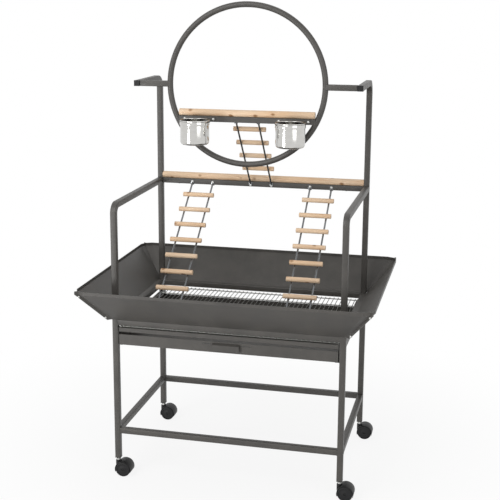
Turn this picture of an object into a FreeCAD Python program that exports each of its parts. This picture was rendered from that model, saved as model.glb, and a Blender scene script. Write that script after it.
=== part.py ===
import FreeCAD, Part
import os
import Sketcher

# Parrot play stand: a square-tube frame on casters with a sloping-sided tray, a pull-out
# grille and drawer, two bent handrails, two bent uprights that carry a hoop, wooden
# perches and ladders, and two lift-out steel cups.
# Millimetres, +Z up, +X to the right, -Y to the front; the origin is on the floor under
# the middle of the stand.

Vector = FreeCAD.Vector
Rotation = FreeCAD.Rotation

doc = FreeCAD.newDocument("ParrotPlayStand")

# ------------------------------------------------------------------ driving dimensions
DIMENSIONS = [
    # frame
    ("frame_width", 762, "over the legs, left to right"),
    ("frame_depth", 522, "over the legs, front to back"),
    ("frame_top", 543, "top of the legs and upper rails"),
    ("leg_bottom", 62, "underside of the legs"),
    ("tube_side", 19, "square tube, outside"),
    ("tube_wall", 1.2, "square tube, wall"),
    ("tube_corner", 1.2, "square tube, bevel along its corners"),
    ("lower_rail_middle", 158, "height of the lower rails' centre line"),
    # runners that carry the grille and the drawer
    ("sheet", 1.2, "folded sheet steel"),
    ("runner_ledge", 14, "width of a runner's two ledges"),
    ("runner_reach", 259, "half length of a runner"),
    ("slide_gap", 0.5, "running gap under and beside what slides"),
    # drawer
    ("drawer_bottom", 459, "underside of the drawer"),
    ("drawer_height", 35, "height of the drawer's walls"),
    ("drawer_side_gap", 4, "leg to drawer front"),
    ("drawer_back_gap", 10, "back rail to drawer"),
    ("pull_width", 88, "finger pull, left to right"),
    ("pull_drop", 24, "finger pull, height of its front plate"),
    ("pull_reach", 10, "finger pull, how far it stands out"),
    ("pull_head", 3, "drawer top down to the finger pull"),
    ("pull_slot_length", 28, "slot beside the pull"),
    ("pull_slot_height", 3, "slot beside the pull"),
    ("pull_slot_gap", 8, "pull to slot"),
    ("pull_slot_rise", 27, "drawer bottom to slot centre"),
    # grille
    ("strip_height", 13, "grille front strip"),
    ("strip_depth", 12, "grille front strip, top flange"),
    ("grille_under", 516, "underside of the grille's frame wires"),
    ("frame_wire", 4, "grille frame and cross wires, thickness"),
    ("bar_wire", 2.5, "grille front-to-back wires, thickness"),
    ("bar_pitch", 15, "grille front-to-back wires, spacing"),
    ("bar_count", 47, "grille front-to-back wires"),
    ("cross_pitch", 75, "grille cross wires, spacing"),
    ("cross_count", 5, "grille cross wires between the frame wires"),
    ("grille_back_gap", 2, "back rail to grille"),
    # sloping guards round the tray
    ("guard_rise", 101, "height of the sloping part"),
    ("guard_overhang", 93, "how far the rim stands out from the frame"),
    ("guard_lip", 10, "upright lip round the rim"),
    ("guard_flange", 15, "flange that lies on the rails"),
    ("guard_gap", 0.3, "post to guard"),
    ("corner_low", 4, "how far a guard stops short of its corner, at the foot"),
    ("corner_high", 32, "how far a guard stops short of its corner, at the rim"),
    ("fold_reach", 9, "first fold of a guard's end, along the corner's diagonal"),
    ("fin_reach", 20, "outer edge of a guard's end fin, along the diagonal"),
    ("guard_screw_low", 9, "height of the lower corner screw above the frame"),
    ("guard_screw_high", 92, "height of the upper corner screw above the frame"),
    # posts, handrails and uprights
    ("handrail_middle", 916.5, "height of the handrails' centre line"),
    ("handrail_bend", 28, "handrail bend, centre-line radius"),
    ("arm_middle", 1283, "height of the arms and of the hoop's centre"),
    ("arm_bend", 40, "upright bend, centre-line radius"),
    ("arm_front", -1.5, "front end of the arms"),
    ("spigot_length", 40, "square spigot that joins a leg to a post"),
    ("spigot_gap", 0.1, "spigot to tube, each side"),
    ("cap_lip", 3, "end cap, thickness of its face"),
    ("cap_plug", 12, "end cap, length inside the tube"),
    # hoop and perches
    ("hoop_radius", 258.5, "hoop, centre-line radius"),
    ("hoop_tube", 19, "hoop, tube diameter"),
    ("hoop_bar_drop", 111.5, "hoop centre down to the hoop bar's centre line"),
    ("mid_bar_middle", 916.5, "height of the middle bar's centre line"),
    ("dowel_diameter", 23, "wooden perches"),
    ("dowel_flat", 1, "flat planed under a perch"),
    ("perch_end_gap", 0.3, "end of the hoop's perch to the hoop"),
    ("perch_screw_inset", 60, "end of a perch to its screw"),
    # ladders
    ("rod_diameter", 6, "ladder rods"),
    ("rod_spacing", 75, "between a ladder's two rods"),
    ("side_ladder_offset", 213, "stand centre to a side ladder"),
    ("tab_width", 12, "flattened rod end"),
    ("tab_thickness", 2.5, "flattened rod end"),
    ("tab_height", 16, "flattened rod end"),
    ("rung_diameter", 16, "wooden rungs"),
    ("rung_length", 110, "wooden rungs"),
    ("rung_pitch", 69, "rung spacing along the rods"),
    ("rung_seat", 2.5, "depth of the notches in which the rods lie"),
    ("rung_clearance", 0.05, "rod to notch"),
    ("side_rungs", 8, "rungs of a side ladder"),
    ("centre_rungs", 4, "rungs of the centre ladder"),
    ("centre_first_rung", 44, "upper end of the centre ladder to its first rung"),
    # screws
    ("screw_shank", 4, "ladder, perch and cup-holder screws"),
    ("screw_head", 8, "their heads"),
    ("screw_head_height", 2.4, "their heads"),
    ("screw_length", 12, "their shanks"),
    ("screw_hole_gap", 0.25, "shank to hole"),
    # cups
    ("cup_diameter", 95, "steel cups, outside"),
    ("cup_height", 80, "steel cups"),
    ("cup_wall", 0.9, "steel cups"),
    ("cup_corner", 8, "steel cups, bevel round the base"),
    ("cup_rim", 4, "rolled rim, thickness"),
    ("cup_offset", 158, "stand centre to a cup"),
    ("cup_rim_top", 1174, "height of the cups' rims"),
    ("cup_gap", 0.5, "cup to holder ring"),
    ("cup_rest_gap", 0.3, "cup rim to holder ring"),
    ("ring_wall", 1.5, "holder ring"),
    ("ring_height", 12, "holder ring"),
    ("plate_width", 112, "holder plate"),
    ("plate_height", 16, "holder plate"),
    ("plate_thickness", 2, "holder plate"),
    ("plate_screw_spacing", 97, "between a holder plate's screws"),
    # casters
    ("wheel_diameter", 50, "caster wheels"),
    ("wheel_width", 16, "caster wheels"),
    ("wheel_edge", 5, "rim round the dished outer face of a caster wheel"),
    ("wheel_recess", 2, "dished outer face of a caster wheel"),
    ("hood_below_axle", 9, "how far the caster hood reaches below the axle"),
    ("axle_radius", 3, "caster axle stubs"),
    ("web_half", 5.5, "half thickness of a caster body's middle web"),
    ("web_gap", 0.5, "web to wheel"),
    ("caster_trail", 20, "swivel axis to axle"),
    ("hood_gap", 0.8, "wheel to hood"),
    ("hood_wall", 1.4, "caster hood"),
    ("hood_top", 52, "top of a caster's swivel boss"),
    ("boss_radius", 8.5, "caster swivel boss"),
    ("bore_depth", 18, "stem inside the swivel boss"),
    ("stem_radius", 4, "caster stem"),
    ("collar_radius", 7.5, "six-sided collar on the caster stem, to its corners"),
    ("collar_height", 4, "six-sided collar on the caster stem"),
    ("running", 0.05, "radial clearance of a running fit"),
    ("turning_gap", 0.4, "between turning faces"),
    ("stem_in_leg", 24, "stem above the leg's underside"),
    ("insert_length", 26, "threaded insert inside the leg"),
    ("insert_flange", 1.5, "insert flange under the leg"),
]

sizes = doc.addObject("Spreadsheet::Sheet", "Sizes")
for row, (alias, value, note) in enumerate(DIMENSIONS, start=1):
    sizes.set(f"A{row}", alias)
    sizes.set(f"B{row}", str(value))
    sizes.set(f"C{row}", note)
    sizes.setAlias(f"B{row}", alias)
    sizes.recompute()
ALIASES = sorted((alias for alias, value, note in DIMENSIONS), key=len, reverse=True)


def bind(text):
    """Put the sheet's name before each alias in a formula written with plain words."""
    words = []
    word = ""
    for letter in str(text) + " ":
        if letter.isalnum() or letter in "_.":
            word += letter
            continue
        words.append("Sizes." + word if word in ALIASES else word)
        words.append(letter)
        word = ""
    return "".join(words).strip()


def value(text):
    """The number that a formula gives with the sheet's present sizes."""
    result = sizes.evalExpression(bind(text))
    return float(getattr(result, "Value", result))


# formulas that several pieces share
HALF_WIDTH = "frame_width / 2"
HALF_DEPTH = "frame_depth / 2"
LEG_X = "(frame_width - tube_side) / 2"
LEG_Y = "(frame_depth - tube_side) / 2"
INNER_X = "(frame_width / 2 - tube_side)"
INNER_Y = "(frame_depth / 2 - tube_side)"
HOOP_Y = "(arm_front + tube_side / 2)"
HOOP_BAR_Z = "(arm_middle - hoop_bar_drop)"
DRAWER_HALF = "(frame_width / 2 - tube_side - drawer_side_gap)"
CUP_RADIUS = "(cup_diameter / 2)"
RIM_UNDER = "(cup_rim_top - cup_rim)"
CUP_Y = f"({HOOP_Y} - tube_side / 2 - plate_thickness - cup_gap - cup_rim / 2 - {CUP_RADIUS})"
AXLE_Z = "(wheel_diameter / 2)"

# the two slopes: upper and lower end of the rods' centre lines
SIDE_TOP = (f"({INNER_Y} - tab_thickness)", "(mid_bar_middle - tube_side / 3)")
SIDE_FOOT = (f"(-{INNER_Y} + tab_thickness)", "(frame_top - tab_height / 6)")
CENTRE_TOP = (f"({HOOP_Y} + tube_side / 2 + tab_thickness)", f"({HOOP_BAR_Z} - tube_side / 2)")
CENTRE_FOOT = (f"({INNER_Y} - tab_thickness)", "(mid_bar_middle + tab_height / 6)")


# ------------------------------------------------------------------------ small helpers
def drive(item, place, text):
    item.setExpression(place, bind(text))


def place(item, x="0", y="0", z="0", axis=None, angle=None):
    """Set a piece down; each coordinate, and the turn about the axis, follows the sheet."""
    turn = Rotation(axis, value(angle)) if axis else Rotation()
    item.Placement = FreeCAD.Placement(Vector(value(x), value(y), value(z)), turn)
    for name, text in zip("xyz", (x, y, z)):
        drive(item, f"Placement.Base.{name}", text)
    if axis and "_" in str(angle):
        drive(item, "Placement.Rotation.Angle", angle)


def new_body(label):
    body = doc.addObject("PartDesign::Body", label)
    body.Label = label
    body.AllowCompound = True
    return body


def origin_part(body, role):
    return next(part for part in body.Origin.OriginFeatures if part.Role == role)


def new_sketch(body, name, plane="XY_Plane", offset=("0", "0", "0"), axis=None, angle=None):
    """A sketch on one of the body's own planes, moved and turned in that plane's axes."""
    sketch = body.newObject("Sketcher::SketchObject", name)
    sketch.AttachmentSupport = [(origin_part(body, plane), "")]
    sketch.MapMode = "FlatFace"
    turn = Rotation(axis, value(angle)) if axis else Rotation()
    sketch.AttachmentOffset = FreeCAD.Placement(Vector(*[value(text) for text in offset]), turn)
    for letter, text in zip("xyz", offset):
        drive(sketch, f"AttachmentOffset.Base.{letter}", text)
    if axis and "_" in str(angle):
        drive(sketch, "AttachmentOffset.Rotation.Angle", angle)
    return sketch


def outline(sketch, corners):
    """A closed outline of straight sides through corners given as formulas."""
    spots = [Vector(value(x), value(y), 0) for x, y in corners]
    first = sketch.GeometryCount
    count = len(spots)
    for index, spot in enumerate(spots):
        sketch.addGeometry(Part.LineSegment(spot, spots[(index + 1) % count]), False)
    for index in range(count):
        following = first + (index + 1) % count
        sketch.addConstraint(Sketcher.Constraint("Coincident", first + index, 2, following, 1))
    for index, (x, y) in enumerate(corners):
        for kind, text in (("DistanceX", x), ("DistanceY", y)):
            constraint = Sketcher.Constraint(kind, first + index, 1, value(text))
            number = sketch.addConstraint(constraint)
            drive(sketch, f"Constraints[{number}]", text)


def rectangle(sketch, x0, y0, x1, y1):
    outline(sketch, [(x0, y0), (x1, y0), (x1, y1), (x0, y1)])


def circle(sketch, x, y, radius):
    shape = Part.Circle(Vector(value(x), value(y), 0), Vector(0, 0, 1), value(radius))
    index = sketch.addGeometry(shape, False)
    rules = (
        (Sketcher.Constraint("DistanceX", index, 3, value(x)), x),
        (Sketcher.Constraint("DistanceY", index, 3, value(y)), y),
        (Sketcher.Constraint("Radius", index, value(radius)), radius),
    )
    for constraint, text in rules:
        number = sketch.addConstraint(constraint)
        drive(sketch, f"Constraints[{number}]", text)


def extrude(body, kind, name, sketch, length, both_ways=False, reverse=False):
    """A Pad or a Pocket; what a Pocket takes away is measured, so that none cuts air."""
    before = body.Shape.Volume if kind == "Pocket" else 0.0
    feature = body.newObject(f"PartDesign::{kind}", name)
    feature.Profile = sketch
    feature.Length = value(length)
    drive(feature, "Length", length)
    if both_ways:
        feature.SideType = "Symmetric"
    feature.Reversed = reverse
    sketch.Visibility = False
    doc.recompute()
    if kind == "Pocket" and body.Shape.Volume > before - 1e-3:
        raise RuntimeError(f"{body.Label}: {name} cuts nothing")
    return feature


def revolve(body, kind, name, sketch, role):
    before = body.Shape.Volume if kind == "Groove" else 0.0
    feature = body.newObject(f"PartDesign::{kind}", name)
    feature.Profile = sketch
    feature.ReferenceAxis = (origin_part(body, role), [""])
    feature.Angle = 360
    doc.recompute()
    if kind == "Groove" and body.Shape.Volume > before - 1e-3:
        raise RuntimeError(f"{body.Label}: {name} cuts nothing")
    return feature


def repeat(body, feature, role, spacing, count, reverse=False):
    """Repeat one feature along an axis of the body."""
    pattern = body.newObject("PartDesign::LinearPattern", "Repeat")
    pattern.Originals = [feature]
    pattern.Direction = (origin_part(body, role), [""])
    pattern.Mode = "Spacing"
    pattern.Offset = value(spacing)
    drive(pattern, "Offset", spacing)
    pattern.Occurrences = int(round(value(count)))
    drive(pattern, "Occurrences", count)
    pattern.Reversed = reverse
    body.Tip = pattern
    doc.recompute()
    return pattern


def mirror(body, features, role="YZ_Plane"):
    """Repeat features on the other side of one of the body's planes."""
    feature = body.newObject("PartDesign::Mirrored", "OtherSide")
    feature.Originals = features
    feature.MirrorPlane = (origin_part(body, role), [""])
    body.Tip = feature
    doc.recompute()
    return feature


def polygon(sketch, x, y, radius, sides, start="0"):
    """A regular outline round a middle; the radius is to its corners."""
    corners = []
    for number in range(sides):
        turn = f"({start} + {number} * 360 / {sides})"
        corners.append((f"{x} + ({radius}) * cos({turn})", f"{y} + ({radius}) * sin({turn})"))
    outline(sketch, corners)


def tube_section(sketch):
    """The square tube's wall: a square with bevelled corners round a square hole."""
    half = "tube_side / 2"
    flat = "(tube_side / 2 - tube_corner)"
    outline(
        sketch,
        [
            (half, f"-{flat}"),
            (half, flat),
            (flat, half),
            (f"-{flat}", half),
            (f"-{half}", flat),
            (f"-{half}", f"-{flat}"),
            (f"-{flat}", f"-{half}"),
            (flat, f"-{half}"),
        ],
    )
    hole = "(tube_side / 2 - tube_wall)"
    rectangle(sketch, f"-{hole}", f"-{hole}", hole, hole)


def straight_tube(label, length, run, x, y, z):
    """A length of square tube along X, Y or Z; X and Y runs are centred on their place."""
    plane = {"X": "YZ_Plane", "Y": "XZ_Plane", "Z": "XY_Plane"}[run]
    body = new_body(label)
    sketch = new_sketch(body, "Section", plane)
    tube_section(sketch)
    extrude(body, "Pad", "Length", sketch, length, both_ways=run != "Z")
    place(body, x, y, z)
    return body


def bent_tube(label, x, foot_y, foot_z, top_z, end_y, radius):
    """A post that rises from its foot, bends and runs level to its end."""
    body = new_body(label)
    path = new_sketch(body, "Path", "YZ_Plane")
    y0 = value(foot_y)
    y1 = value(end_y)
    z0 = value(foot_z)
    z1 = value(top_z)
    bend = value(radius)
    way = 1 if y1 > y0 else -1
    path.addGeometry(Part.LineSegment(Vector(y0, z0, 0), Vector(y0, z1 - bend, 0)), False)
    middle = Part.Circle(Vector(y0 + way * bend, z1 - bend, 0), Vector(0, 0, 1), bend)
    quarter = FreeCAD.Units.Quantity("90 deg").getValueAs("rad").Value
    start = quarter if way > 0 else 0
    path.addGeometry(Part.ArcOfCircle(middle, start, start + quarter), False)
    path.addGeometry(Part.LineSegment(Vector(y0 + way * bend, z1, 0), Vector(y1, z1, 0)), False)
    low, high = (2, 1) if way > 0 else (1, 2)
    path.addConstraint(Sketcher.Constraint("Tangent", 0, 2, 1, low))
    path.addConstraint(Sketcher.Constraint("Tangent", 1, high, 2, 1))
    path.addConstraint(Sketcher.Constraint("Vertical", 0))
    path.addConstraint(Sketcher.Constraint("Horizontal", 2))
    rules = (
        (Sketcher.Constraint("Radius", 1, bend), radius),
        (Sketcher.Constraint("DistanceX", 0, 1, y0), foot_y),
        (Sketcher.Constraint("DistanceY", 0, 1, z0), foot_z),
        (Sketcher.Constraint("DistanceX", 2, 2, y1), end_y),
        (Sketcher.Constraint("DistanceY", 2, 2, z1), top_z),
    )
    for constraint, text in rules:
        number = path.addConstraint(constraint)
        drive(path, f"Constraints[{number}]", text)
    section = new_sketch(body, "Section", "XY_Plane", ("0", foot_y, foot_z))
    tube_section(section)
    doc.recompute()
    pipe = body.newObject("PartDesign::AdditivePipe", "Tube")
    pipe.Profile = section
    pipe.Spine = (path, ["Edge1", "Edge2", "Edge3"])
    place(body, x)
    doc.recompute()
    return body


def group(label, copies):
    """One node of like pieces: each copy is a link to the same master at its own place."""
    links = []
    for number, (master, x, y, z, axis, angle) in enumerate(copies, start=1):
        link = doc.addObject("App::Link", f"{label}_copy{number}")
        link.LinkedObject = master
        place(link, x, y, z, axis, angle)
        links.append(link)
    whole = doc.addObject("Part::Compound", label)
    whole.Links = links
    whole.Label = label
    return whole


UP = Vector(0, 0, 1)
ACROSS = Vector(1, 0, 0)
BACK = Vector(0, 1, 0)
SIDES = (("left", "-1"), ("right", "1"))
ENDS = (("front", "-1"), ("back", "1"))
nodes = []

# ------------------------------------------------------------------------------- frame
for end, sy in ENDS:
    for side, sx in SIDES:
        leg = straight_tube(
            f"leg_{end}_{side}",
            "frame_top - leg_bottom",
            "Z",
            f"{sx} * {LEG_X}",
            f"{sy} * {LEG_Y}",
            "leg_bottom",
        )
        nodes.append(leg)

RAIL_LEVELS = (("lower", "lower_rail_middle"), ("upper", "frame_top - tube_side / 2"))
for level, height in RAIL_LEVELS:
    for end, sy in ENDS:
        name = f"{level}_rail_{end}"
        nodes.append(straight_tube(name, f"2 * {INNER_X}", "X", "0", f"{sy} * {LEG_Y}", height))
    for side, sx in SIDES:
        name = f"{level}_rail_{side}"
        nodes.append(straight_tube(name, f"2 * {INNER_Y}", "Y", f"{sx} * {LEG_X}", "0", height))


def runner(side, turn):
    """A folded channel on the legs' inner faces; its ledges carry the drawer and the grille."""
    body = new_body(f"runner_{side}")
    sketch = new_sketch(body, "Section", "XZ_Plane")
    low = "drawer_bottom - slide_gap"
    high = "grille_under - slide_gap"
    outline(
        sketch,
        [
            (INNER_X, f"{low} - sheet"),
            (INNER_X, high),
            (f"{INNER_X} - runner_ledge", high),
            (f"{INNER_X} - runner_ledge", f"{high} - sheet"),
            (f"{INNER_X} - sheet", f"{high} - sheet"),
            (f"{INNER_X} - sheet", low),
            (f"{INNER_X} - runner_ledge", low),
            (f"{INNER_X} - runner_ledge", f"{low} - sheet"),
        ],
    )
    pad = extrude(body, "Pad", "Length", sketch, "2 * runner_reach", both_ways=True)
    room = new_sketch(body, "StripRoom", "XY_Plane", ("0", "0", "grille_under"))
    front = f"-{HALF_DEPTH} + strip_depth + 2 * slide_gap"
    rectangle(
        room,
        f"{INNER_X} - runner_ledge - 1",
        f"-{HALF_DEPTH} - 1",
        f"{INNER_X} - sheet",
        front,
    )
    extrude(body, "Pocket", "StripNotch", room, "strip_height + 2 * slide_gap")
    place(body, axis=UP, angle=turn)
    return body


def add_runner(side, sx):
    """The left runner is the right one mirrored, so its front notch stays in front."""
    right = runner(side, "0")
    if sx == "1":
        return right
    right.Label = f"{right.Label}_shape"
    flipped = doc.addObject("Part::Mirroring", f"runner_{side}_mirrored")
    flipped.Source = right
    flipped.Normal = ACROSS
    flipped.Label = f"runner_{side}"
    return flipped


for side, sx in SIDES:
    nodes.append(add_runner(side, sx))

# ------------------------------------------------------------------- guards and screws
SCREW_HOLE = "(screw_shank / 2 + screw_hole_gap)"
THICK = "(sheet * sqrt(guard_rise * guard_rise + guard_overhang * guard_overhang) / guard_rise)"


def guard_section(sketch, half, out, short):
    """A guard cut level: its long wall, and at each end a fold and a fin on the diagonal."""
    fold = f"(fold_reach / sqrt(2) - {short} / 2)"
    fin = f"(fin_reach / sqrt(2) - {short} / 2)"
    skin = "(sheet / sqrt(2))"
    ease = "(sheet / 2)"
    end = [
        (f"{half} + {out} - {short}", f"-({out})"),
        (f"{half} + {out} + {fold}", f"-({out}) - {fold}"),
        (f"{half} + {out} + {fin}", f"-({out}) - {fin}"),
        (f"{half} + {out} + {fin} - {skin}", f"-({out}) - {fin} - {skin}"),
        (f"{half} + {out} + {fold} - {skin} + {ease}", f"-({out}) - {fold} - {skin} - {ease}"),
        (f"{half} + {out} - {short}", f"-({out}) - {THICK}"),
    ]
    other = [(f"-({x})", y) for x, y in reversed(end)]
    outline(sketch, end + other)


def guard(label, length, x, y, turn):
    """One sloping side of the tray, modelled as the front one and turned to its side."""
    half = f"{length} / 2"
    body = new_body(label)
    foot = new_sketch(body, "FootSection")
    guard_section(foot, half, "guard_gap", "corner_low")
    rim = new_sketch(body, "RimSection", "XY_Plane", ("0", "0", "guard_rise"))
    guard_section(rim, half, "guard_overhang", "corner_high")
    doc.recompute()
    slope = body.newObject("PartDesign::AdditiveLoft", "Slope")
    slope.Profile = foot
    slope.Sections = [rim]
    slope.Ruled = True
    doc.recompute()
    lip_section = new_sketch(body, "LipSection", "XY_Plane", ("0", "0", "guard_rise"))
    guard_section(lip_section, half, "guard_overhang", "corner_high")
    extrude(body, "Pad", "Lip", lip_section, "guard_lip")
    flange = new_sketch(body, "Flange")
    reach = f"({half} - tube_side - slide_gap)"
    rectangle(flange, f"-{reach}", f"-guard_gap - {THICK}", reach, "guard_flange")
    extrude(body, "Pad", "RailFlange", flange, "sheet")
    holes = []
    for name, height in (("Low", "guard_screw_low"), ("High", "guard_screw_high")):
        hole = new_sketch(
            body, f"{name}Hole", "XZ_Plane", (half, "0", "0"), axis=BACK, angle="-45"
        )
        polygon(hole, fin_middle(height), height, SCREW_HOLE, 6)
        holes.append(extrude(body, "Pocket", f"{name}FinHole", hole, "4 * sheet", both_ways=True))
    mirror(body, holes)
    place(body, x, y, "frame_top", UP, turn)
    return body


def fin_middle(height):
    """How far along the corner's diagonal the middle of a guard's fin lies at a height."""
    share = f"({height} / guard_rise)"
    out = f"(guard_gap + (guard_overhang - guard_gap) * {share})"
    short = f"(corner_low + (corner_high - corner_low) * {share})"
    return f"({out} * sqrt(2) - {short} / sqrt(2) + (fold_reach + fin_reach) / 2 + screw_head / 8)"


nodes.append(guard("guard_front", "frame_width", "0", f"-{HALF_DEPTH}", "0"))
nodes.append(guard("guard_right", "frame_depth", HALF_WIDTH, "0", "90"))
nodes.append(guard("guard_back", "frame_width", "0", HALF_DEPTH, "180"))
nodes.append(guard("guard_left", "frame_depth", f"-{HALF_WIDTH}", "0", "-90"))


def screw_master(label, shank_length, nut):
    """A screw on the Z axis: its head rests on z = 0 and its shank points down.

    It is small and often repeated, so its round parts are drawn with few flat sides.
    """
    body = new_body(label)
    head = new_sketch(body, "HeadSection", "XY_Plane")
    polygon(head, "0", "0", "screw_head / 2", 8)
    extrude(body, "Pad", "Head", head, "screw_head_height")
    shank = new_sketch(body, "ShankSection", "XY_Plane")
    polygon(shank, "0", "0", "screw_shank / 2", 6)
    extrude(body, "Pad", "Shank", shank, shank_length, reverse=True)
    if nut:
        grip = new_sketch(body, "NutSection", "XY_Plane", ("0", "0", "-2 * sheet"))
        polygon(grip, "0", "0", "screw_head / 2", 6)
        extrude(body, "Pad", "Nut", grip, "screw_head_height", reverse=True)
    return body


fin_screw = screw_master("fin_screw", "2 * sheet + screw_head_height + 1", True)
plain_screw = screw_master("plain_screw", "screw_length", False)


def fin_screw_copies():
    """Two screws at each corner, square to the corner's diagonal, heads towards the front."""
    copies = []
    for sx, sy, heading in (("-1", "-1", 45), ("1", "-1", -45), ("1", "1", 45), ("-1", "1", -45)):
        turn = Rotation(UP, heading) * Rotation(ACROSS, 90)
        for height in ("guard_screw_low", "guard_screw_high"):
            along = f"({fin_middle(height)} / sqrt(2))"
            # the head rests on the front guard's fin, one sheet in front of the diagonal
            ahead = "(sheet / sqrt(2))"
            across = f"{sx} * ({HALF_WIDTH} + {along})"
            if sy == "-1":
                across = f"{across} - {sx} * {ahead}"
            else:
                across = f"{across} + {sx} * {ahead}"
            copies.append(
                (
                    fin_screw,
                    across,
                    f"{sy} * ({HALF_DEPTH} + {along}) - {ahead}",
                    f"frame_top + {height}",
                    turn.Axis,
                    str(turn.Angle * 180 / 3.141592653589793),
                )
            )
    return copies


nodes.append(group("guard_corner_screws", fin_screw_copies()))

# ------------------------------------------------- posts, handrails, uprights and caps
for side, sx in SIDES:
    rail = bent_tube(
        f"handrail_{side}",
        f"{sx} * {LEG_X}",
        f"-{LEG_Y}",
        "frame_top",
        "handrail_middle",
        INNER_Y,
        "handrail_bend",
    )
    nodes.append(rail)
for side, sx in SIDES:
    upright = bent_tube(
        f"upright_{side}",
        f"{sx} * {LEG_X}",
        LEG_Y,
        "frame_top",
        "arm_middle",
        "arm_front",
        "arm_bend",
    )
    nodes.append(upright)

spigot = new_body("spigot")
spigot_section = new_sketch(spigot, "Section")
SPIGOT = "(tube_side / 2 - tube_wall - spigot_gap)"
rectangle(spigot_section, f"-{SPIGOT}", f"-{SPIGOT}", SPIGOT, SPIGOT)
extrude(spigot, "Pad", "Length", spigot_section, "spigot_length", both_ways=True)
CORNERS = [(sx, sy) for end, sy in ENDS for side, sx in SIDES]
nodes.append(
    group(
        "post_spigots",
        [
            (spigot, f"{sx} * {LEG_X}", f"{sy} * {LEG_Y}", "frame_top", None, None)
            for sx, sy in CORNERS
        ],
    )
)

end_cap = new_body("end_cap")
cap_face = new_sketch(end_cap, "Face", "XZ_Plane")
rectangle(cap_face, "-tube_side / 2", "-tube_side / 2", "tube_side / 2", "tube_side / 2")
extrude(end_cap, "Pad", "Lip", cap_face, "cap_lip")
cap_plug = new_sketch(end_cap, "Plug", "XZ_Plane")
rectangle(cap_plug, f"-{SPIGOT}", f"-{SPIGOT}", SPIGOT, SPIGOT)
extrude(end_cap, "Pad", "PlugLength", cap_plug, "cap_plug", reverse=True)
nodes.append(
    group(
        "arm_end_caps",
        [(end_cap, f"{sx} * {LEG_X}", "arm_front", "arm_middle", None, None) for side, sx in SIDES],
    )
)

# ---------------------------------------------------------------------- hoop and bars
# the hoop's round tube has twelve flat sides here
ring = new_body("hoop_ring")
ring_section = new_sketch(ring, "Section", "XY_Plane")
polygon(ring_section, "hoop_radius", "0", "hoop_tube / 2", 12)
revolve(ring, "Revolution", "Ring", ring_section, "Y_Axis")
place(ring, "0", HOOP_Y, "arm_middle")
stubs = []
for side, sx in SIDES:
    stub = straight_tube(
        f"stub_{side}",
        f"{INNER_X} - hoop_radius",
        "X",
        f"{sx} * ({INNER_X} + hoop_radius) / 2",
        HOOP_Y,
        "arm_middle",
    )
    stubs.append(stub)
hoop = doc.addObject("Part::MultiFuse", "hoop")
hoop.Shapes = [ring] + stubs
hoop.Label = "hoop"
nodes.append(hoop)


def coped(label, piece):
    """A cross piece whose ends are cut to the hoop's round tube."""
    piece.Label = f"{label}_blank"
    cut = doc.addObject("Part::Cut", f"{label}_coped")
    cut.Base = piece
    cut.Tool = ring
    cut.Label = label
    return cut


def dowel(label, half_length, y, z):
    """A round wooden perch with the flat on which it lies."""
    body = new_body(label)
    sketch = new_sketch(body, "Section", "YZ_Plane")
    circle(sketch, "0", "0", "dowel_diameter / 2")
    extrude(body, "Pad", "Length", sketch, f"2 * {half_length}", both_ways=True)
    plane = new_sketch(body, "Flat", "YZ_Plane")
    edge = "dowel_diameter"
    rectangle(plane, f"-{edge}", f"-{edge}", edge, "dowel_flat - dowel_diameter / 2")
    extrude(body, "Pocket", "PlanedFlat", plane, f"2 * {half_length} + 2", both_ways=True)
    place(body, "0", y, z)
    return body


DOWEL_RISE = "(tube_side / 2 + dowel_diameter / 2 - dowel_flat)"
# half the width inside the hoop: at the bar's centre line, and at the foot of the perch
BAR_HALF = "(sqrt(hoop_radius * hoop_radius - hoop_bar_drop * hoop_bar_drop) - hoop_tube / 4)"
HOOP_INSIDE = "(hoop_radius - hoop_tube / 2)"
PERCH_DROP = "(hoop_bar_drop - tube_side / 2)"
HOOP_DOWEL_HALF = (
    f"(sqrt({HOOP_INSIDE} * {HOOP_INSIDE} - {PERCH_DROP} * {PERCH_DROP}) - perch_end_gap)"
)
hoop_bar = straight_tube("hoop_bar", f"2 * {BAR_HALF}", "X", "0", HOOP_Y, HOOP_BAR_Z)
nodes.append(coped("hoop_bar", hoop_bar))
nodes.append(dowel("hoop_dowel", HOOP_DOWEL_HALF, HOOP_Y, f"{HOOP_BAR_Z} + {DOWEL_RISE}"))
nodes.append(straight_tube("mid_bar", f"2 * {INNER_X}", "X", "0", LEG_Y, "mid_bar_middle"))
nodes.append(dowel("mid_dowel", INNER_X, LEG_Y, f"mid_bar_middle + {DOWEL_RISE}"))

perch_screw = screw_master("perch_screw", "tube_side + screw_length", False)
perch_copies = []
for half, y, z in (
    (f"({HOOP_DOWEL_HALF})", HOOP_Y, HOOP_BAR_Z),
    (INNER_X, LEG_Y, "mid_bar_middle"),
):
    for side, sx in SIDES:
        across = f"{sx} * ({half} - perch_screw_inset)"
        perch_copies.append((perch_screw, across, y, f"{z} - tube_side / 2", ACROSS, "180"))
nodes.append(group("perch_screws", perch_copies))


# ---------------------------------------------------------------------------- ladders
def slope_length(top, foot):
    drop = f"({top[1]} - {foot[1]})"
    run = f"({top[0]} - {foot[0]})"
    return f"sqrt({drop} * {drop} + {run} * {run})"


def screw_rise(name):
    """Height of a tab's screw above the end of the rod's centre line."""
    return "tab_height * 5 / 12" if name == "Top" else "-tab_height * 5 / 12"


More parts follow.
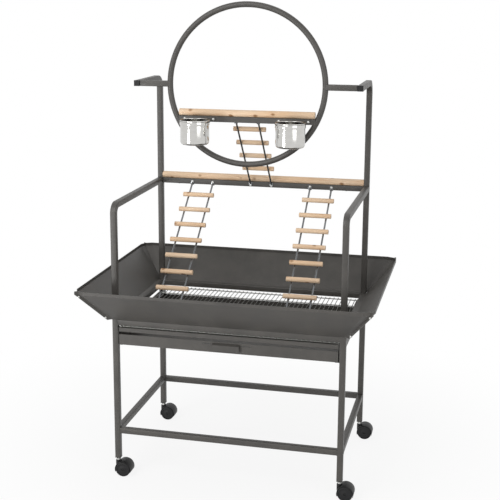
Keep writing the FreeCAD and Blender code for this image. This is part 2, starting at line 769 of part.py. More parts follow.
def ladder_rods(label, x, top, foot, leans_back):
    """Two rods, each with a flattened, drilled tab at either end.

    The body's Y axis runs along the rods, up the slope; its origin is at their upper end.
    leans_back tells on which side of the rods the upper end's tab lies.
    """
    angle = f"atan2({top[1]} - ({foot[1]}); {top[0]} - ({foot[0]}))"
    length = slope_length(top, foot)
    body = new_body(label)
    section = new_sketch(body, "RodSection", "XZ_Plane")
    circle(section, "-rod_spacing / 2", "0", "rod_diameter / 2")
    extrude(body, "Pad", "Rod", section, length)
    features = [body.Tip]
    ends = (
        ("Top", "0", "-tab_height / 3", leans_back),
        ("Foot", length, "tab_height / 3 - tab_height", not leans_back),
    )
    for name, along, low, behind in ends:
        offset = ("0", "0", along)
        tab = new_sketch(body, f"{name}Tab", "XZ_Plane", offset, ACROSS, f"-{angle}")
        rectangle(
            tab,
            "-(rod_spacing + tab_width) / 2",
            low,
            "(tab_width - rod_spacing) / 2",
            f"{low} + tab_height",
        )
        features.append(extrude(body, "Pad", f"{name}Plate", tab, "tab_thickness", reverse=behind))
        hole = new_sketch(body, f"{name}Hole", "XZ_Plane", offset, ACROSS, f"-{angle}")
        polygon(hole, "-rod_spacing / 2", screw_rise(name), SCREW_HOLE, 6)
        cut = extrude(body, "Pocket", f"{name}ScrewHole", hole, "4 * tab_thickness", both_ways=True)
        features.append(cut)
    mirror(body, features)
    place(body, x, top[0], top[1], ACROSS, angle)
    return body


def ladder_rungs(label, x, top, foot, first, count, face):
    """Rungs on one face of the rods, each notched where a rod lies in it.

    There are many of them, so a rung is drawn with twelve sides.
    """
    angle = f"atan2({top[1]} - ({foot[1]}); {top[0]} - ({foot[0]}))"
    body = new_body(label)
    height = f"{face} * (rod_diameter / 2 + rung_diameter / 2 - rung_seat)"
    section = new_sketch(body, "RungSection", "YZ_Plane")
    polygon(section, f"-({first})", height, "rung_diameter / 2", 12)
    rung = extrude(body, "Pad", "Rung", section, "rung_length", both_ways=True)
    notch = new_sketch(body, "RodNotches", "XZ_Plane")
    half = "(rod_diameter / 2 + rung_clearance)"
    for sx in ("-1", "1"):
        middle = f"{sx} * rod_spacing / 2"
        rectangle(notch, f"{middle} - {half}", f"-{half}", f"{middle} + {half}", half)
    reach = f"{first} + rung_diameter"
    cut = extrude(body, "Pocket", "Notches", notch, reach, reverse=True)
    pattern = body.newObject("PartDesign::LinearPattern", "Rungs")
    pattern.Originals = [rung, cut]
    pattern.Direction = (origin_part(body, "Y_Axis"), [""])
    pattern.Mode = "Spacing"
    pattern.Offset = value("rung_pitch")
    drive(pattern, "Offset", "rung_pitch")
    pattern.Occurrences = int(round(value(count)))
    drive(pattern, "Occurrences", count)
    pattern.Reversed = True
    body.Tip = pattern
    doc.recompute()
    place(body, x, top[0], top[1], ACROSS, angle)
    return body


SIDE_FIRST = f"({slope_length(SIDE_TOP, SIDE_FOOT)} - (side_rungs - 1) * rung_pitch) / 2"
for side, sx in SIDES:
    x = f"{sx} * side_ladder_offset"
    nodes.append(ladder_rods(f"{side}_ladder_rods", x, SIDE_TOP, SIDE_FOOT, True))
    name = f"{side}_ladder_rungs"
    nodes.append(ladder_rungs(name, x, SIDE_TOP, SIDE_FOOT, SIDE_FIRST, "side_rungs", "1"))
nodes.append(ladder_rods("centre_ladder_rods", "0", CENTRE_TOP, CENTRE_FOOT, False))
nodes.append(
    ladder_rungs(
        "centre_ladder_rungs",
        "0",
        CENTRE_TOP,
        CENTRE_FOOT,
        "centre_first_rung",
        "centre_rungs",
        "-1",
    )
)


def ladder_screw_copies():
    """One screw through each tab; its head is on the side away from the bar."""
    copies = []
    for middle in ("-side_ladder_offset", "side_ladder_offset", "0"):
        top, foot = (CENTRE_TOP, CENTRE_FOOT) if middle == "0" else (SIDE_TOP, SIDE_FOOT)
        for side, sx in SIDES:
            x = f"{middle} + {sx} * rod_spacing / 2"
            for name, spot in (("Top", top), ("Foot", foot)):
                faces_back = (name == "Top") == (middle == "0")
                turn = "-90" if faces_back else "90"
                z = f"{spot[1]} + {screw_rise(name)}"
                copies.append((plain_screw, x, spot[0], z, ACROSS, turn))
    return copies


nodes.append(group("ladder_screws", ladder_screw_copies()))


# ----------------------------------------------------------------------------- drawer
def drawer():
    """A folded pan with a finger pull and two slots in its front."""
    body = new_body("drawer")
    back = f"({INNER_Y} - drawer_back_gap)"
    base = new_sketch(body, "Pan", "XY_Plane", ("0", "0", "drawer_bottom"))
    rectangle(base, f"-{DRAWER_HALF}", f"-{HALF_DEPTH}", DRAWER_HALF, back)
    extrude(body, "Pad", "PanHeight", base, "drawer_height")
    top = "drawer_bottom + drawer_height"
    inside = new_sketch(body, "Inside", "XY_Plane", ("0", "0", top))
    side = f"({DRAWER_HALF} - sheet)"
    rectangle(inside, f"-{side}", f"-{HALF_DEPTH} + sheet", side, f"{back} - sheet")
    extrude(body, "Pocket", "InsideDepth", inside, "drawer_height - sheet")
    pull = new_sketch(body, "PullSection", "YZ_Plane")
    head = f"({top} - pull_head)"
    face = f"(-{HALF_DEPTH} - pull_reach)"
    outline(
        pull,
        [
            (f"-{HALF_DEPTH}", head),
            (face, f"{head} - pull_reach / 2"),
            (face, f"{head} - pull_drop"),
            (f"{face} + sheet", f"{head} - pull_drop"),
            (f"{face} + sheet", f"{head} - pull_reach / 2 - sheet / 2"),
            (f"-{HALF_DEPTH}", f"{head} - sheet"),
        ],
    )
    extrude(body, "Pad", "Pull", pull, "pull_width", both_ways=True)
    slot = new_sketch(body, "Slot", "XZ_Plane", ("0", "0", HALF_DEPTH))
    start = "(pull_width / 2 + pull_slot_gap)"
    middle = "(drawer_bottom + pull_slot_rise)"
    half = "pull_slot_height / 2"
    rectangle(slot, start, f"{middle} - {half}", f"{start} + pull_slot_length", f"{middle} + {half}")
    cut = extrude(body, "Pocket", "SlotCut", slot, "2 * sheet")
    mirror(body, [cut])
    return body


nodes.append(drawer())

# ----------------------------------------------------------------------------- grille
strip = new_body("grille_strip")
strip_section = new_sketch(strip, "Section", "YZ_Plane")
outline(
    strip_section,
    [
        (f"-{HALF_DEPTH}", "grille_under - strip_height"),
        (f"-{HALF_DEPTH} + sheet", "grille_under - strip_height"),
        (f"-{HALF_DEPTH} + sheet", "grille_under - sheet"),
        (f"-{HALF_DEPTH} + strip_depth", "grille_under - sheet"),
        (f"-{HALF_DEPTH} + strip_depth", "grille_under"),
        (f"-{HALF_DEPTH}", "grille_under"),
    ],
)
extrude(strip, "Pad", "Length", strip_section, f"2 * {DRAWER_HALF}", both_ways=True)
nodes.append(strip)


def wire_section(sketch, x, y, thickness):
    """A wire's six-sided section with a flat below and a flat above."""
    corner = f"({thickness} / sqrt(3))"
    half = f"({corner} / 2)"
    flat = f"({thickness} / 2)"
    outline(
        sketch,
        [
            (f"{x} + {corner}", y),
            (f"{x} + {half}", f"{y} + {flat}"),
            (f"{x} - {half}", f"{y} + {flat}"),
            (f"{x} - {corner}", y),
            (f"{x} - {half}", f"{y} - {flat}"),
            (f"{x} + {half}", f"{y} - {flat}"),
        ],
    )


def grille_wires():
    """The welded grille: frame and cross wires, with the close front-to-back wires on top."""
    body = new_body("grille_wires")
    back = f"({INNER_Y} - grille_back_gap)"
    front = f"(-{HALF_DEPTH} + strip_depth - frame_wire)"
    middle = f"({back} + {front}) / 2"
    side = f"({DRAWER_HALF} - frame_wire / 2)"
    level = "(grille_under + frame_wire / 2)"
    cross = new_sketch(body, "CrossWire", "YZ_Plane")
    wire_section(cross, f"{back} - frame_wire", level, "frame_wire")
    pad = extrude(body, "Pad", "CrossWireLength", cross, f"2 * {side}", both_ways=True)
    repeat(body, pad, "Y_Axis", "cross_pitch", "cross_count + 1", reverse=True)
    fore = new_sketch(body, "FrontWire", "YZ_Plane")
    wire_section(fore, f"{front} + frame_wire", level, "frame_wire")
    extrude(body, "Pad", "FrontWireLength", fore, f"2 * {side}", both_ways=True)
    # sketches on this plane run front to back; the offset sets the middle of their length
    along = ("0", "0", f"-({middle})")
    edge = new_sketch(body, "EdgeWires", "XZ_Plane", along)
    wire_section(edge, side, level, "frame_wire")
    wire_section(edge, f"-{side}", level, "frame_wire")
    extrude(body, "Pad", "EdgeWireLength", edge, f"{back} - {front}", both_ways=True)
    bar = new_sketch(body, "Bar", "XZ_Plane", along)
    height = "grille_under + frame_wire + bar_wire / 2"
    wire_section(bar, "-(bar_count - 1) / 2 * bar_pitch", f"({height})", "bar_wire")
    pad = extrude(body, "Pad", "BarLength", bar, f"{back} - {front}", both_ways=True)
    repeat(body, pad, "X_Axis", "bar_pitch", "bar_count")
    return body


nodes.append(grille_wires())


# --------------------------------------------------------------------- cups and holders
def cup(label, x):
    """A deep-drawn cup with a turned-out rim; its origin is under its base."""
    body = new_body(label)
    section = new_sketch(body, "Section", "XZ_Plane")
    inside = f"({CUP_RADIUS} - cup_wall)"
    outer_rim = f"({CUP_RADIUS} + cup_rim / 2)"
    outline(
        section,
        [
            ("0", "0"),
            (f"{CUP_RADIUS} - cup_corner", "0"),
            (CUP_RADIUS, "cup_corner"),
            (CUP_RADIUS, "cup_height - cup_rim"),
            (outer_rim, "cup_height - cup_rim"),
            (outer_rim, "cup_height - cup_wall"),
            (f"{outer_rim} - cup_wall", "cup_height"),
            (inside, "cup_height"),
            (inside, "cup_corner"),
            (f"{CUP_RADIUS} - cup_corner", "cup_wall"),
            ("0", "cup_wall"),
        ],
    )
    revolve(body, "Revolution", "Turned", section, "Z_Axis")
    place(body, x, CUP_Y, "cup_rim_top - cup_height")
    return body


def cup_holder(label, x):
    """A plate screwed to the bar's front, with a band that the cup hangs in by its rim."""
    body = new_body(label)
    top = f"({RIM_UNDER} - cup_rest_gap)"
    band = new_sketch(body, "Band", "XY_Plane", ("0", CUP_Y, top))
    outer = f"({CUP_RADIUS} + cup_gap + ring_wall)"
    circle(band, "0", "0", outer)
    extrude(body, "Pad", "BandHeight", band, "ring_height", reverse=True)
    neck = new_sketch(body, "Neck", "XY_Plane", ("0", CUP_Y, top))
    face = f"(arm_front - plate_thickness / 2 - ({CUP_Y}))"
    rectangle(neck, "-ring_height", "0", "ring_height", face)
    extrude(body, "Pad", "NeckHeight", neck, "ring_height", reverse=True)
    hole = new_sketch(body, "BandHole", "XY_Plane", ("0", CUP_Y, top))
    circle(hole, "0", "0", f"{CUP_RADIUS} + cup_gap")
    extrude(body, "Pocket", "BandOpening", hole, "ring_height + 1")
    plate = new_sketch(body, "Plate", "XZ_Plane", ("0", HOOP_BAR_Z, "-arm_front"))
    half = "plate_width / 2"
    rise = "plate_height / 2"
    rectangle(plate, f"-{half}", f"-{rise}", half, rise)
    extrude(body, "Pad", "PlateThickness", plate, "plate_thickness")
    screw_hole = new_sketch(body, "ScrewHole", "XZ_Plane", ("0", HOOP_BAR_Z, "-arm_front"))
    polygon(screw_hole, "plate_screw_spacing / 2", "0", SCREW_HOLE, 6)
    cut = extrude(
        body, "Pocket", "ScrewHoleCut", screw_hole, "3 * plate_thickness", both_ways=True
    )
    mirror(body, [cut])
    place(body, x)
    return body


for side, sx in SIDES:
    nodes.append(cup(f"cup_{side}", f"{sx} * cup_offset"))
for side, sx in SIDES:
    nodes.append(cup_holder(f"cup_holder_{side}", f"{sx} * cup_offset"))
holder_screws = [
    (
        plain_screw,
        f"{sx} * cup_offset + {way} * plate_screw_spacing / 2",
        "arm_front - plate_thickness",
        HOOP_BAR_Z,
        ACROSS,
        "90",
    )
    for side, sx in SIDES
    for way in ("-1", "1")
]
nodes.append(group("cup_holder_screws", holder_screws))

# ---------------------------------------------------------------------------- casters
stem = new_body("caster_stem")
stem_foot = "(hood_top - bore_depth + turning_gap)"
collar_foot = "(hood_top + turning_gap)"
stem_section = new_sketch(stem, "StemSection", "XY_Plane", ("0", "0", stem_foot))
circle(stem_section, "0", "0", "stem_radius")
extrude(stem, "Pad", "Stem", stem_section, f"leg_bottom + stem_in_leg - {stem_foot}")
collar = new_sketch(stem, "CollarSection", "XY_Plane", ("0", "0", collar_foot))
polygon(collar, "0", "0", "collar_radius", 6)
extrude(stem, "Pad", "Collar", collar, "collar_height")

insert = new_body("caster_insert")
insert_plug = new_sketch(insert, "Plug", "XY_Plane", ("0", "0", "leg_bottom"))
rectangle(insert_plug, f"-{SPIGOT}", f"-{SPIGOT}", SPIGOT, SPIGOT)
extrude(insert, "Pad", "PlugLength", insert_plug, "insert_length")
insert_foot = new_sketch(insert, "Flange", "XY_Plane", ("0", "0", "leg_bottom"))
rectangle(insert_foot, "-tube_side / 2", "-tube_side / 2", "tube_side / 2", "tube_side / 2")
extrude(insert, "Pad", "FlangeThickness", insert_foot, "insert_flange", reverse=True)
insert_bore = new_sketch(insert, "Bore", "XY_Plane", ("0", "0", "leg_bottom - insert_flange"))
circle(insert_bore, "0", "0", "stem_radius + running")
bore_length = "insert_flange + stem_in_leg + turning_gap"
extrude(insert, "Pocket", "BoreDepth", insert_bore, bore_length, reverse=True)

LEG_SPOTS = [(f"{sx} * {LEG_X}", f"{sy} * {LEG_Y}") for sx, sy in CORNERS]
nodes.append(group("caster_stems", [(stem, x, y, "0", None, None) for x, y in LEG_SPOTS]))
nodes.append(group("caster_inserts", [(insert, x, y, "0", None, None) for x, y in LEG_SPOTS]))

# to the corners of the 24 flat sides that the cover and its two wells have, like the wheels
WELL = "(wheel_diameter / 2 + hood_gap)"
HOOD = f"({WELL} + hood_wall)"
HALF_TRACK = "(web_half + web_gap + wheel_width)"


def caster_hood(label, x, y):
    """The swivelling body: a cover over both wheels, a middle web, a boss and axle stubs."""
    body = new_body(label)
    axle = ("caster_trail", AXLE_Z)
    cover = new_sketch(body, "Cover", "XZ_Plane")
    polygon(cover, axle[0], axle[1], HOOD, 24)
    extrude(body, "Pad", "CoverWidth", cover, f"2 * {HALF_TRACK}", both_ways=True)
    boss = new_sketch(body, "Boss", "XY_Plane", ("0", "0", "hood_top"))
    circle(boss, "0", "0", "boss_radius")
    extrude(body, "Pad", "BossHeight", boss, "bore_depth + hood_wall", reverse=True)
    well = new_sketch(body, "Well", "XZ_Plane", ("0", "0", HALF_TRACK))
    polygon(well, axle[0], axle[1], WELL, 24)
    well_cut = extrude(body, "Pocket", "WheelWell", well, "wheel_width + web_gap")
    mirror(body, [well_cut], "XZ_Plane")
    below = new_sketch(body, "Below", "XZ_Plane")
    edge = f"(caster_trail + {HOOD} + 1)"
    rectangle(below, f"-{edge}", f"{AXLE_Z} - {HOOD} - 1", edge, f"{AXLE_Z} - hood_below_axle")
    extrude(body, "Pocket", "OpenBelow", below, f"2 * {HALF_TRACK} + 2", both_ways=True)
    block = new_sketch(body, "StemBlock", "XZ_Plane")
    foot = "(hood_top - bore_depth - hood_wall)"
    rectangle(block, "-boss_radius", foot, "boss_radius", "hood_top")
    extrude(body, "Pad", "StemBlockWidth", block, "2 * web_half", both_ways=True)
    bore = new_sketch(body, "Bore", "XY_Plane", ("0", "0", "hood_top"))
    circle(bore, "0", "0", "stem_radius + running")
    extrude(body, "Pocket", "BoreDepth", bore, "bore_depth")
    stub = new_sketch(body, "Axle", "XZ_Plane")
    circle(stub, axle[0], axle[1], "axle_radius")
    length = f"2 * ({HALF_TRACK} - wheel_recess)"
    extrude(body, "Pad", "AxleLength", stub, length, both_ways=True)
    place(body, x, y)
    return body


def caster_wheel(label, x, y, face):
    """A wheel about its Y axis, dished on its outer face; its tread has 24 flat sides."""
    body = new_body(label)
    half = "(wheel_width / 2)"
    tread = new_sketch(body, "Tread", "XZ_Plane")
    polygon(tread, "0", "0", "wheel_diameter / 2", 24, "90")
    extrude(body, "Pad", "Width", tread, "wheel_width", both_ways=True)
    dish = new_sketch(body, "Dish", "XZ_Plane", ("0", "0", f"-{half}"))
    polygon(dish, "0", "0", "wheel_diameter / 2 - wheel_edge", 24, "90")
    extrude(body, "Pocket", "DishDepth", dish, "wheel_recess", reverse=True)
    bore = new_sketch(body, "Bore", "XZ_Plane")
    circle(bore, "0", "0", "axle_radius + running")
    extrude(body, "Pocket", "BoreLength", bore, "2 * wheel_width", both_ways=True)
    place(body, x, y, AXLE_Z, ACROSS, face)
    return body


SPOT_NAMES = [f"{end}_{side}" for end, sy in ENDS for side, sx in SIDES]
for name, (x, y) in zip(SPOT_NAMES, LEG_SPOTS):
    nodes.append(caster_hood(f"caster_hood_{name}", x, y))
    for wheel_end, sy, face in (("fore", "-1", "180"), ("aft", "1", "0")):
        offset = f"{sy} * (web_half + web_gap + wheel_width / 2)"
        wheel_x = f"{x} + caster_trail"
        label = f"caster_wheel_{name}_{wheel_end}"
        nodes.append(caster_wheel(label, wheel_x, f"{y} + {offset}", face))

# ------------------------------------------------------------------- check and write out
doc.recompute()
for item in doc.Objects:
    if "Invalid" in item.State or "Error" in item.State:
        raise RuntimeError(f"{item.Label} failed: {item.State}")
for node in nodes:
    if node.Shape.isNull() or not node.Shape.isValid():
        raise RuntimeError(f"{node.Label} has no valid shape")
labels = [node.Label for node in nodes]
if len(set(labels)) != len(labels):
    raise RuntimeError("two pieces share a name")
os.makedirs("parts", exist_ok=True)
for node in nodes:
    node.Shape.exportStep(f"parts/{node.Label}.step")
print(f"{len(nodes)} pieces written")
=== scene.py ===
"""Parrot play stand: the finished look of the stand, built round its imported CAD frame."""

import math

import bpy
from bpy.props import FloatProperty, FloatVectorProperty, IntProperty, PointerProperty
from bpy.types import Operator, Panel, PropertyGroup
from mathutils import Matrix, Vector


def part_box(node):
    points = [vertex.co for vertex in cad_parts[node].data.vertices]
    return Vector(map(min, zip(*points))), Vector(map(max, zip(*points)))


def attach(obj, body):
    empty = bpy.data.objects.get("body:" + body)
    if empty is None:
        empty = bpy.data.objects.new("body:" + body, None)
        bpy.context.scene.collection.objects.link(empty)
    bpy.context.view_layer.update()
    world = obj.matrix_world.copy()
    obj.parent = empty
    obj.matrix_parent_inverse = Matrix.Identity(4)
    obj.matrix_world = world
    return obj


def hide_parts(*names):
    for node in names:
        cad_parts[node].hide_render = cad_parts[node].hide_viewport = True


bl_info = {
    "name": "Parrot play stand",
    "version": (1, 0, 0),
    "blender": (4, 5, 0),
    "location": "3D View > Sidebar > Stand",
    "description": "Dresses the frame of a wheeled parrot play stand",
    "category": "Object",
}

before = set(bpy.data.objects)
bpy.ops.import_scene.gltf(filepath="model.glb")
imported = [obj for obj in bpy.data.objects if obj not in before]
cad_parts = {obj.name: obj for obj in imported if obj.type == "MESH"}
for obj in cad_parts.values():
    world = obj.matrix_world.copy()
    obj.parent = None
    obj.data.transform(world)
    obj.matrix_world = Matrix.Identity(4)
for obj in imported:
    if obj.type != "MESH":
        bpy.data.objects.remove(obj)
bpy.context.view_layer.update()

MM = 0.001
SIDES = ("left", "right")
WALLS = ("front", "back", "left", "right")
CORNERS = ("front_left", "front_right", "back_left", "back_right")


def linear(hex_colour):
    """An sRGB hex colour as the linear red, green, blue that Blender's colour sockets hold."""
    parts = [int(hex_colour[i : i + 2], 16) / 255 for i in (0, 2, 4)]
    return tuple(p / 12.92 if p <= 0.04045 else ((p + 0.055) / 1.055) ** 2.4 for p in parts)


# --------------------------------------------------------------------------- settings
def colour(name, description, hex_colour):
    """A colour setting with its default given as sRGB hex."""
    return FloatVectorProperty(
        name=name,
        description=description,
        subtype="COLOR",
        size=3,
        min=0.0,
        max=1.0,
        default=linear(hex_colour),
    )


def length(name, description, millimetres):
    """A length setting with its default given in millimetres."""
    return FloatProperty(
        name=name, description=description, unit="LENGTH", default=millimetres * MM
    )


class StandColours(PropertyGroup):
    """Colours of the stand's finishes."""

    coat: colour("Powder coat", "Body colour of the powder coat", "413f3c")
    coat_light: colour("Powder coat, light", "Lightest mottle of the coat", "4e4b47")
    wood: colour("Wood", "Main colour of the sanded wood", "ead0b3")
    wood_late: colour("Latewood", "Colour of the darker growth lines", "dbb795")
    wood_pale: colour("Pale wood", "Palest streaks of the wood", "f4e3d0")
    wood_tint: colour("Wood tint", "Warm tint that sets the sticks apart", "f0dcc2")
    knot: colour("Knot", "Colour of the knots", "94673f")
    steel: colour("Stainless steel", "Colour of the cups", "cfcecb")
    steel_smear: colour("Smeared steel", "Colour of the cups' duller smears", "c2c1bd")
    zinc: colour("Zinc plate", "Colour of the grille's wires", "a3a39f")
    rod: colour("Ladder rods", "Colour of the ladders' rods", "7e8082")
    screw: colour("Screws", "Colour of the screws and caster stems", "dededb")
    plastic: colour("Black plastic", "Colour of caster covers and caps", "0d0d0e")
    tread: colour("Wheel", "Colour of the caster wheels", "111112")
    floor: colour("Floor", "Colour of the floor", "f6f6f6")


class StandSizes(PropertyGroup):
    """Sizes of the parts that are drawn finer than in the frame."""

    rod: length("Ladder rod", "Diameter of the ladders' rods", 6)
    tab_thickness: length("Rod tab thickness", "Thickness of a rod's flattened end", 2.5)
    tab_width: length("Rod tab width", "Width of a rod's flattened end", 12)
    tab_height: length("Rod tab height", "Height of a rod's flattened end", 16)
    rung: length("Rung", "Diameter of the rungs", 16)
    rung_length: length("Rung length", "Length of the rungs", 110)
    rung_pitch: length("Rung pitch", "Spacing of the rungs along the rods", 69)
    rung_seat: length("Rung seat", "Depth at which the rods lie in the rungs", 2.5)
    side_rungs: IntProperty(
        name="Side rungs", description="Rungs of each side ladder", default=8, min=1
    )
    centre_rungs: IntProperty(
        name="Centre rungs", description="Rungs of the centre ladder", default=4, min=1
    )
    centre_first: length("First centre rung", "Upper end of the centre rods to a rung", 44)
    dowel: length("Perch", "Diameter of the perches", 23)
    handrail_bend: length("Handrail bend", "Centre-line radius of the handrails' bends", 28)
    arm_bend: length("Arm bend", "Centre-line radius of the uprights' bends", 40)
    frame_wire: length("Frame wire", "Diameter of the grille's frame wires", 4)
    bar_wire: length("Grille wire", "Diameter of the grille's close wires", 2.5)
    bar_pitch: length("Grille pitch", "Spacing of the grille's close wires", 15)
    cross_pitch: length("Cross-wire pitch", "Spacing of the grille's cross wires", 75)
    tube: length("Tube", "Side of the square tube and diameter of the hoop's tube", 19)
    tube_corner: length("Tube corner", "Radius along the square tube's corners", 2)
    weld: length("Weld bead", "Thickness of the weld beads at the rails' ends", 2.4)
    cup_wall: length("Cup wall", "Thickness of the cups' sheet", 0.9)
    cup_bead: length("Cup bead", "Thickness of the cups' rolled rim", 4)
    cup_bend: length("Cup bend", "Radius round the cups' base", 9)
    holder_band: length("Holder band", "Thickness of a cup holder's band", 1.5)
    holder_height: length("Holder band height", "Height of a cup holder's band", 12)
    holder_plate: length("Holder plate", "Thickness of a cup holder's plate", 2)
    holder_plate_height: length("Holder plate height", "Height of a holder's plate", 16)
    screw_head: length("Screw head", "Diameter of the screw heads", 8)
    screw_rise: length("Screw head height", "Height of the screw heads", 2.4)
    screw_recess: length("Screw recess", "Length of the cross recess in a screw head", 4.4)
    screw_shank: length("Screw shank", "Diameter of the screws' shanks", 4)
    wheel: length("Wheel", "Diameter of the caster wheels", 50)
    wheel_width: length("Wheel width", "Width of a caster wheel", 16)
    axle: length("Axle", "Diameter of the casters' axles", 6)
    trail: length("Caster trail", "Swivel axis to axle", 20)
    cover: length("Caster cover", "Radius of a caster's cover", 27.2)
    cover_wall: length("Caster cover wall", "Thickness of a caster's cover", 1.4)
    web: length("Caster web", "Thickness of a caster's middle web", 11)
    boss: length("Swivel boss", "Radius of a caster's swivel boss", 8.5)
    boss_top: length("Swivel boss top", "Height of a caster's swivel boss", 52)


def colours():
    return bpy.context.scene.stand_colours


def sizes():
    return bpy.context.scene.stand_sizes


# -------------------------------------------------------------------------- materials
def feed(tree, socket, value):
    """Link a node's output to a socket, or set the socket to a plain value."""
    if isinstance(value, bpy.types.NodeSocket):
        tree.links.new(value, socket)
    else:
        socket.default_value = value


def add_node(tree, kind, settings=None, **inputs):
    """Add one node; settings are its own values, inputs are its sockets' values or links."""
    node = tree.nodes.new(kind)
    for name, value in (settings or {}).items():
        setattr(node, name, value)
    for name, value in inputs.items():
        key = name.replace("_", " ").lower()
        if key[0] == "i" and key[1:].isdigit():
            socket = node.inputs[int(key[1:])]
        else:
            socket = next(s for s in node.inputs if s.name.lower() == key and s.enabled)
        feed(tree, socket, value)
    return node


def ramp(tree, factor, stops):
    """A colour ramp through (place, colour) stops."""
    node = add_node(tree, "ShaderNodeValToRGB", Fac=factor)
    points = node.color_ramp.elements
    while len(points) < len(stops):
        points.new(0.5)
    for point, (place, shade) in zip(points, stops):
        point.position = place
        point.color = (*shade, 1.0)
    return node.outputs["Color"]


def grey(level):
    return (level, level, level)


def start_material(name):
    """A new material with its shader, and the object's own coordinates in metres."""
    material = bpy.data.materials.new(name)
    material.use_nodes = True
    tree = material.node_tree
    shader = tree.nodes["Principled BSDF"]
    place = add_node(tree, "ShaderNodeTexCoord").outputs["Object"]
    return material, tree, shader, place


def scaled(tree, place, repeats):
    """Coordinates in which a pattern repeats so many times to the metre along each axis."""
    node = add_node(tree, "ShaderNodeMapping", Vector=place, Scale=repeats)
    return node.outputs["Vector"]


def noise(tree, place, repeats, detail, roughness=0.5):
    """A noise pattern with so many repeats to the metre along each axis."""
    return add_node(
        tree,
        "ShaderNodeTexNoise",
        Vector=scaled(tree, place, repeats),
        Scale=1.0,
        Detail=detail,
        Roughness=roughness,
    )


def mixed(tree, blend, factor, first, second):
    """What a Mix node makes of two colours or vectors, each a link or a plain value."""
    node = add_node(
        tree, "ShaderNodeMix", {"data_type": "RGBA", "blend_type": blend}, Factor=factor
    )
    sockets = [s for s in node.inputs if s.type == "RGBA"]
    for socket, value in zip(sockets, (first, second)):
        feed(tree, socket, value)
    return next(s for s in node.outputs if s.type == "RGBA")


def paint(tree, shader, tone, roughness):
    feed(tree, shader.inputs["Base Color"], tone)
    feed(tree, shader.inputs["Roughness"], roughness)


def bump(tree, shader, height, strength, depth):
    node = add_node(
        tree, "ShaderNodeBump", Height=height, Strength=strength, Distance=depth
    )
    tree.links.new(node.outputs["Normal"], shader.inputs["Normal"])


COATING_IOR = 1.5
PLASTIC_SPECULAR = 0.32
WORN = 0.55  # of the zinc's colour, where it is worn
DUSTY = (1.8, 0.002)  # factor and offset that lighten the plastic where it is dusty


def powder_coat():
    """Baked charcoal powder coat on steel tube: satin, finely pebbled, faintly mottled."""
    material, tree, shader, place = start_material("charcoal_powder_coat")
    # broad mottle about 60 mm across
    mottle = noise(tree, place, (16, 16, 16), 4.0, 0.6).outputs["Fac"]
    tone = ramp(
        tree, mottle, [(0.3, tuple(colours().coat)), (0.75, tuple(colours().coat_light))]
    )
    # powder grain, drawn at 1.2 mm so that it shows
    grain = noise(tree, place, (833, 833, 833), 2.0).outputs["Fac"]
    speck = ramp(tree, grain, [(0.30, grey(0.78)), (0.55, grey(1.0)), (0.85, grey(1.12))])
    rough = ramp(tree, mottle, [(0.25, grey(0.40)), (0.8, grey(0.52))])
    paint(tree, shader, mixed(tree, "MULTIPLY", 0.6, tone, speck), rough)
    shader.inputs["IOR"].default_value = COATING_IOR
    bump(tree, shader, grain, 0.12, 0.0004)
    return material


def sanded_wood():
    """Sanded, uncoated softwood dowel: pale, with growth lines along it and small knots."""
    material, tree, shader, place = start_material("sanded_softwood")
    # slow waves along the wood bend every line a little
    drift = noise(tree, place, (9, 30, 30), 2.0).outputs["Color"]
    lines_at = mixed(tree, "LINEAR_LIGHT", 0.006, place, drift)
    # growth lines 3 mm apart, stretched along the dowel
    lines = noise(tree, lines_at, (6, 330, 330), 3.0, 0.55).outputs["Fac"]
    tone = ramp(
        tree,
        lines,
        [
            (0.32, tuple(colours().wood_late)),
            (0.48, tuple(colours().wood)),
            (0.62, tuple(colours().wood)),
            (0.78, tuple(colours().wood_pale)),
        ],
    )
    # a slow tint, 200 mm long and 90 mm across, sets one stick apart from the next
    tint = noise(tree, place, (5, 11, 11), 1.0).outputs["Fac"]
    tint_tone = ramp(tree, tint, [(0.3, tuple(colours().wood_tint)), (0.7, grey(1.0))])
    tinted = mixed(tree, "MULTIPLY", 0.55, tone, tint_tone)
    # knots up to 10 mm across, some 50 mm apart, longer along the grain
    cells = add_node(
        tree,
        "ShaderNodeTexVoronoi",
        {"feature": "F1"},
        Vector=scaled(tree, lines_at, (19, 27, 27)),
        Scale=1.0,
        Randomness=1.0,
    ).outputs["Distance"]
    knot = ramp(tree, cells, [(0.08, grey(1.0)), (0.13, grey(0.55)), (0.19, grey(0.0))])
    rough = ramp(tree, lines, [(0.3, grey(0.62)), (0.8, grey(0.74))])
    paint(tree, shader, mixed(tree, "MIX", knot, tinted, (*colours().knot, 1.0)), rough)
    shader.inputs["IOR"].default_value = COATING_IOR
    bump(tree, shader, lines, 0.15, 0.0004)
    return material


def drawn_stainless():
    """Deep-drawn, polished stainless steel: a mirror with faint turning marks and smears."""
    material, tree, shader, place = start_material("polished_stainless")
    smear = noise(tree, place, (40, 40, 90), 5.0, 0.65).outputs["Fac"]
    tone = ramp(
        tree, smear, [(0.3, tuple(colours().steel)), (0.8, tuple(colours().steel_smear))]
    )
    rough = ramp(tree, smear, [(0.35, grey(0.05)), (0.8, grey(0.17))])
    paint(tree, shader, tone, rough)
    # turning marks round the cup, drawn 1.5 mm apart so that they show
    marks = noise(tree, place, (4, 4, 660), 2.0).outputs["Fac"]
    bump(tree, shader, marks, 0.02, 0.0002)
    shader.inputs["Metallic"].default_value = 1.0
    return material


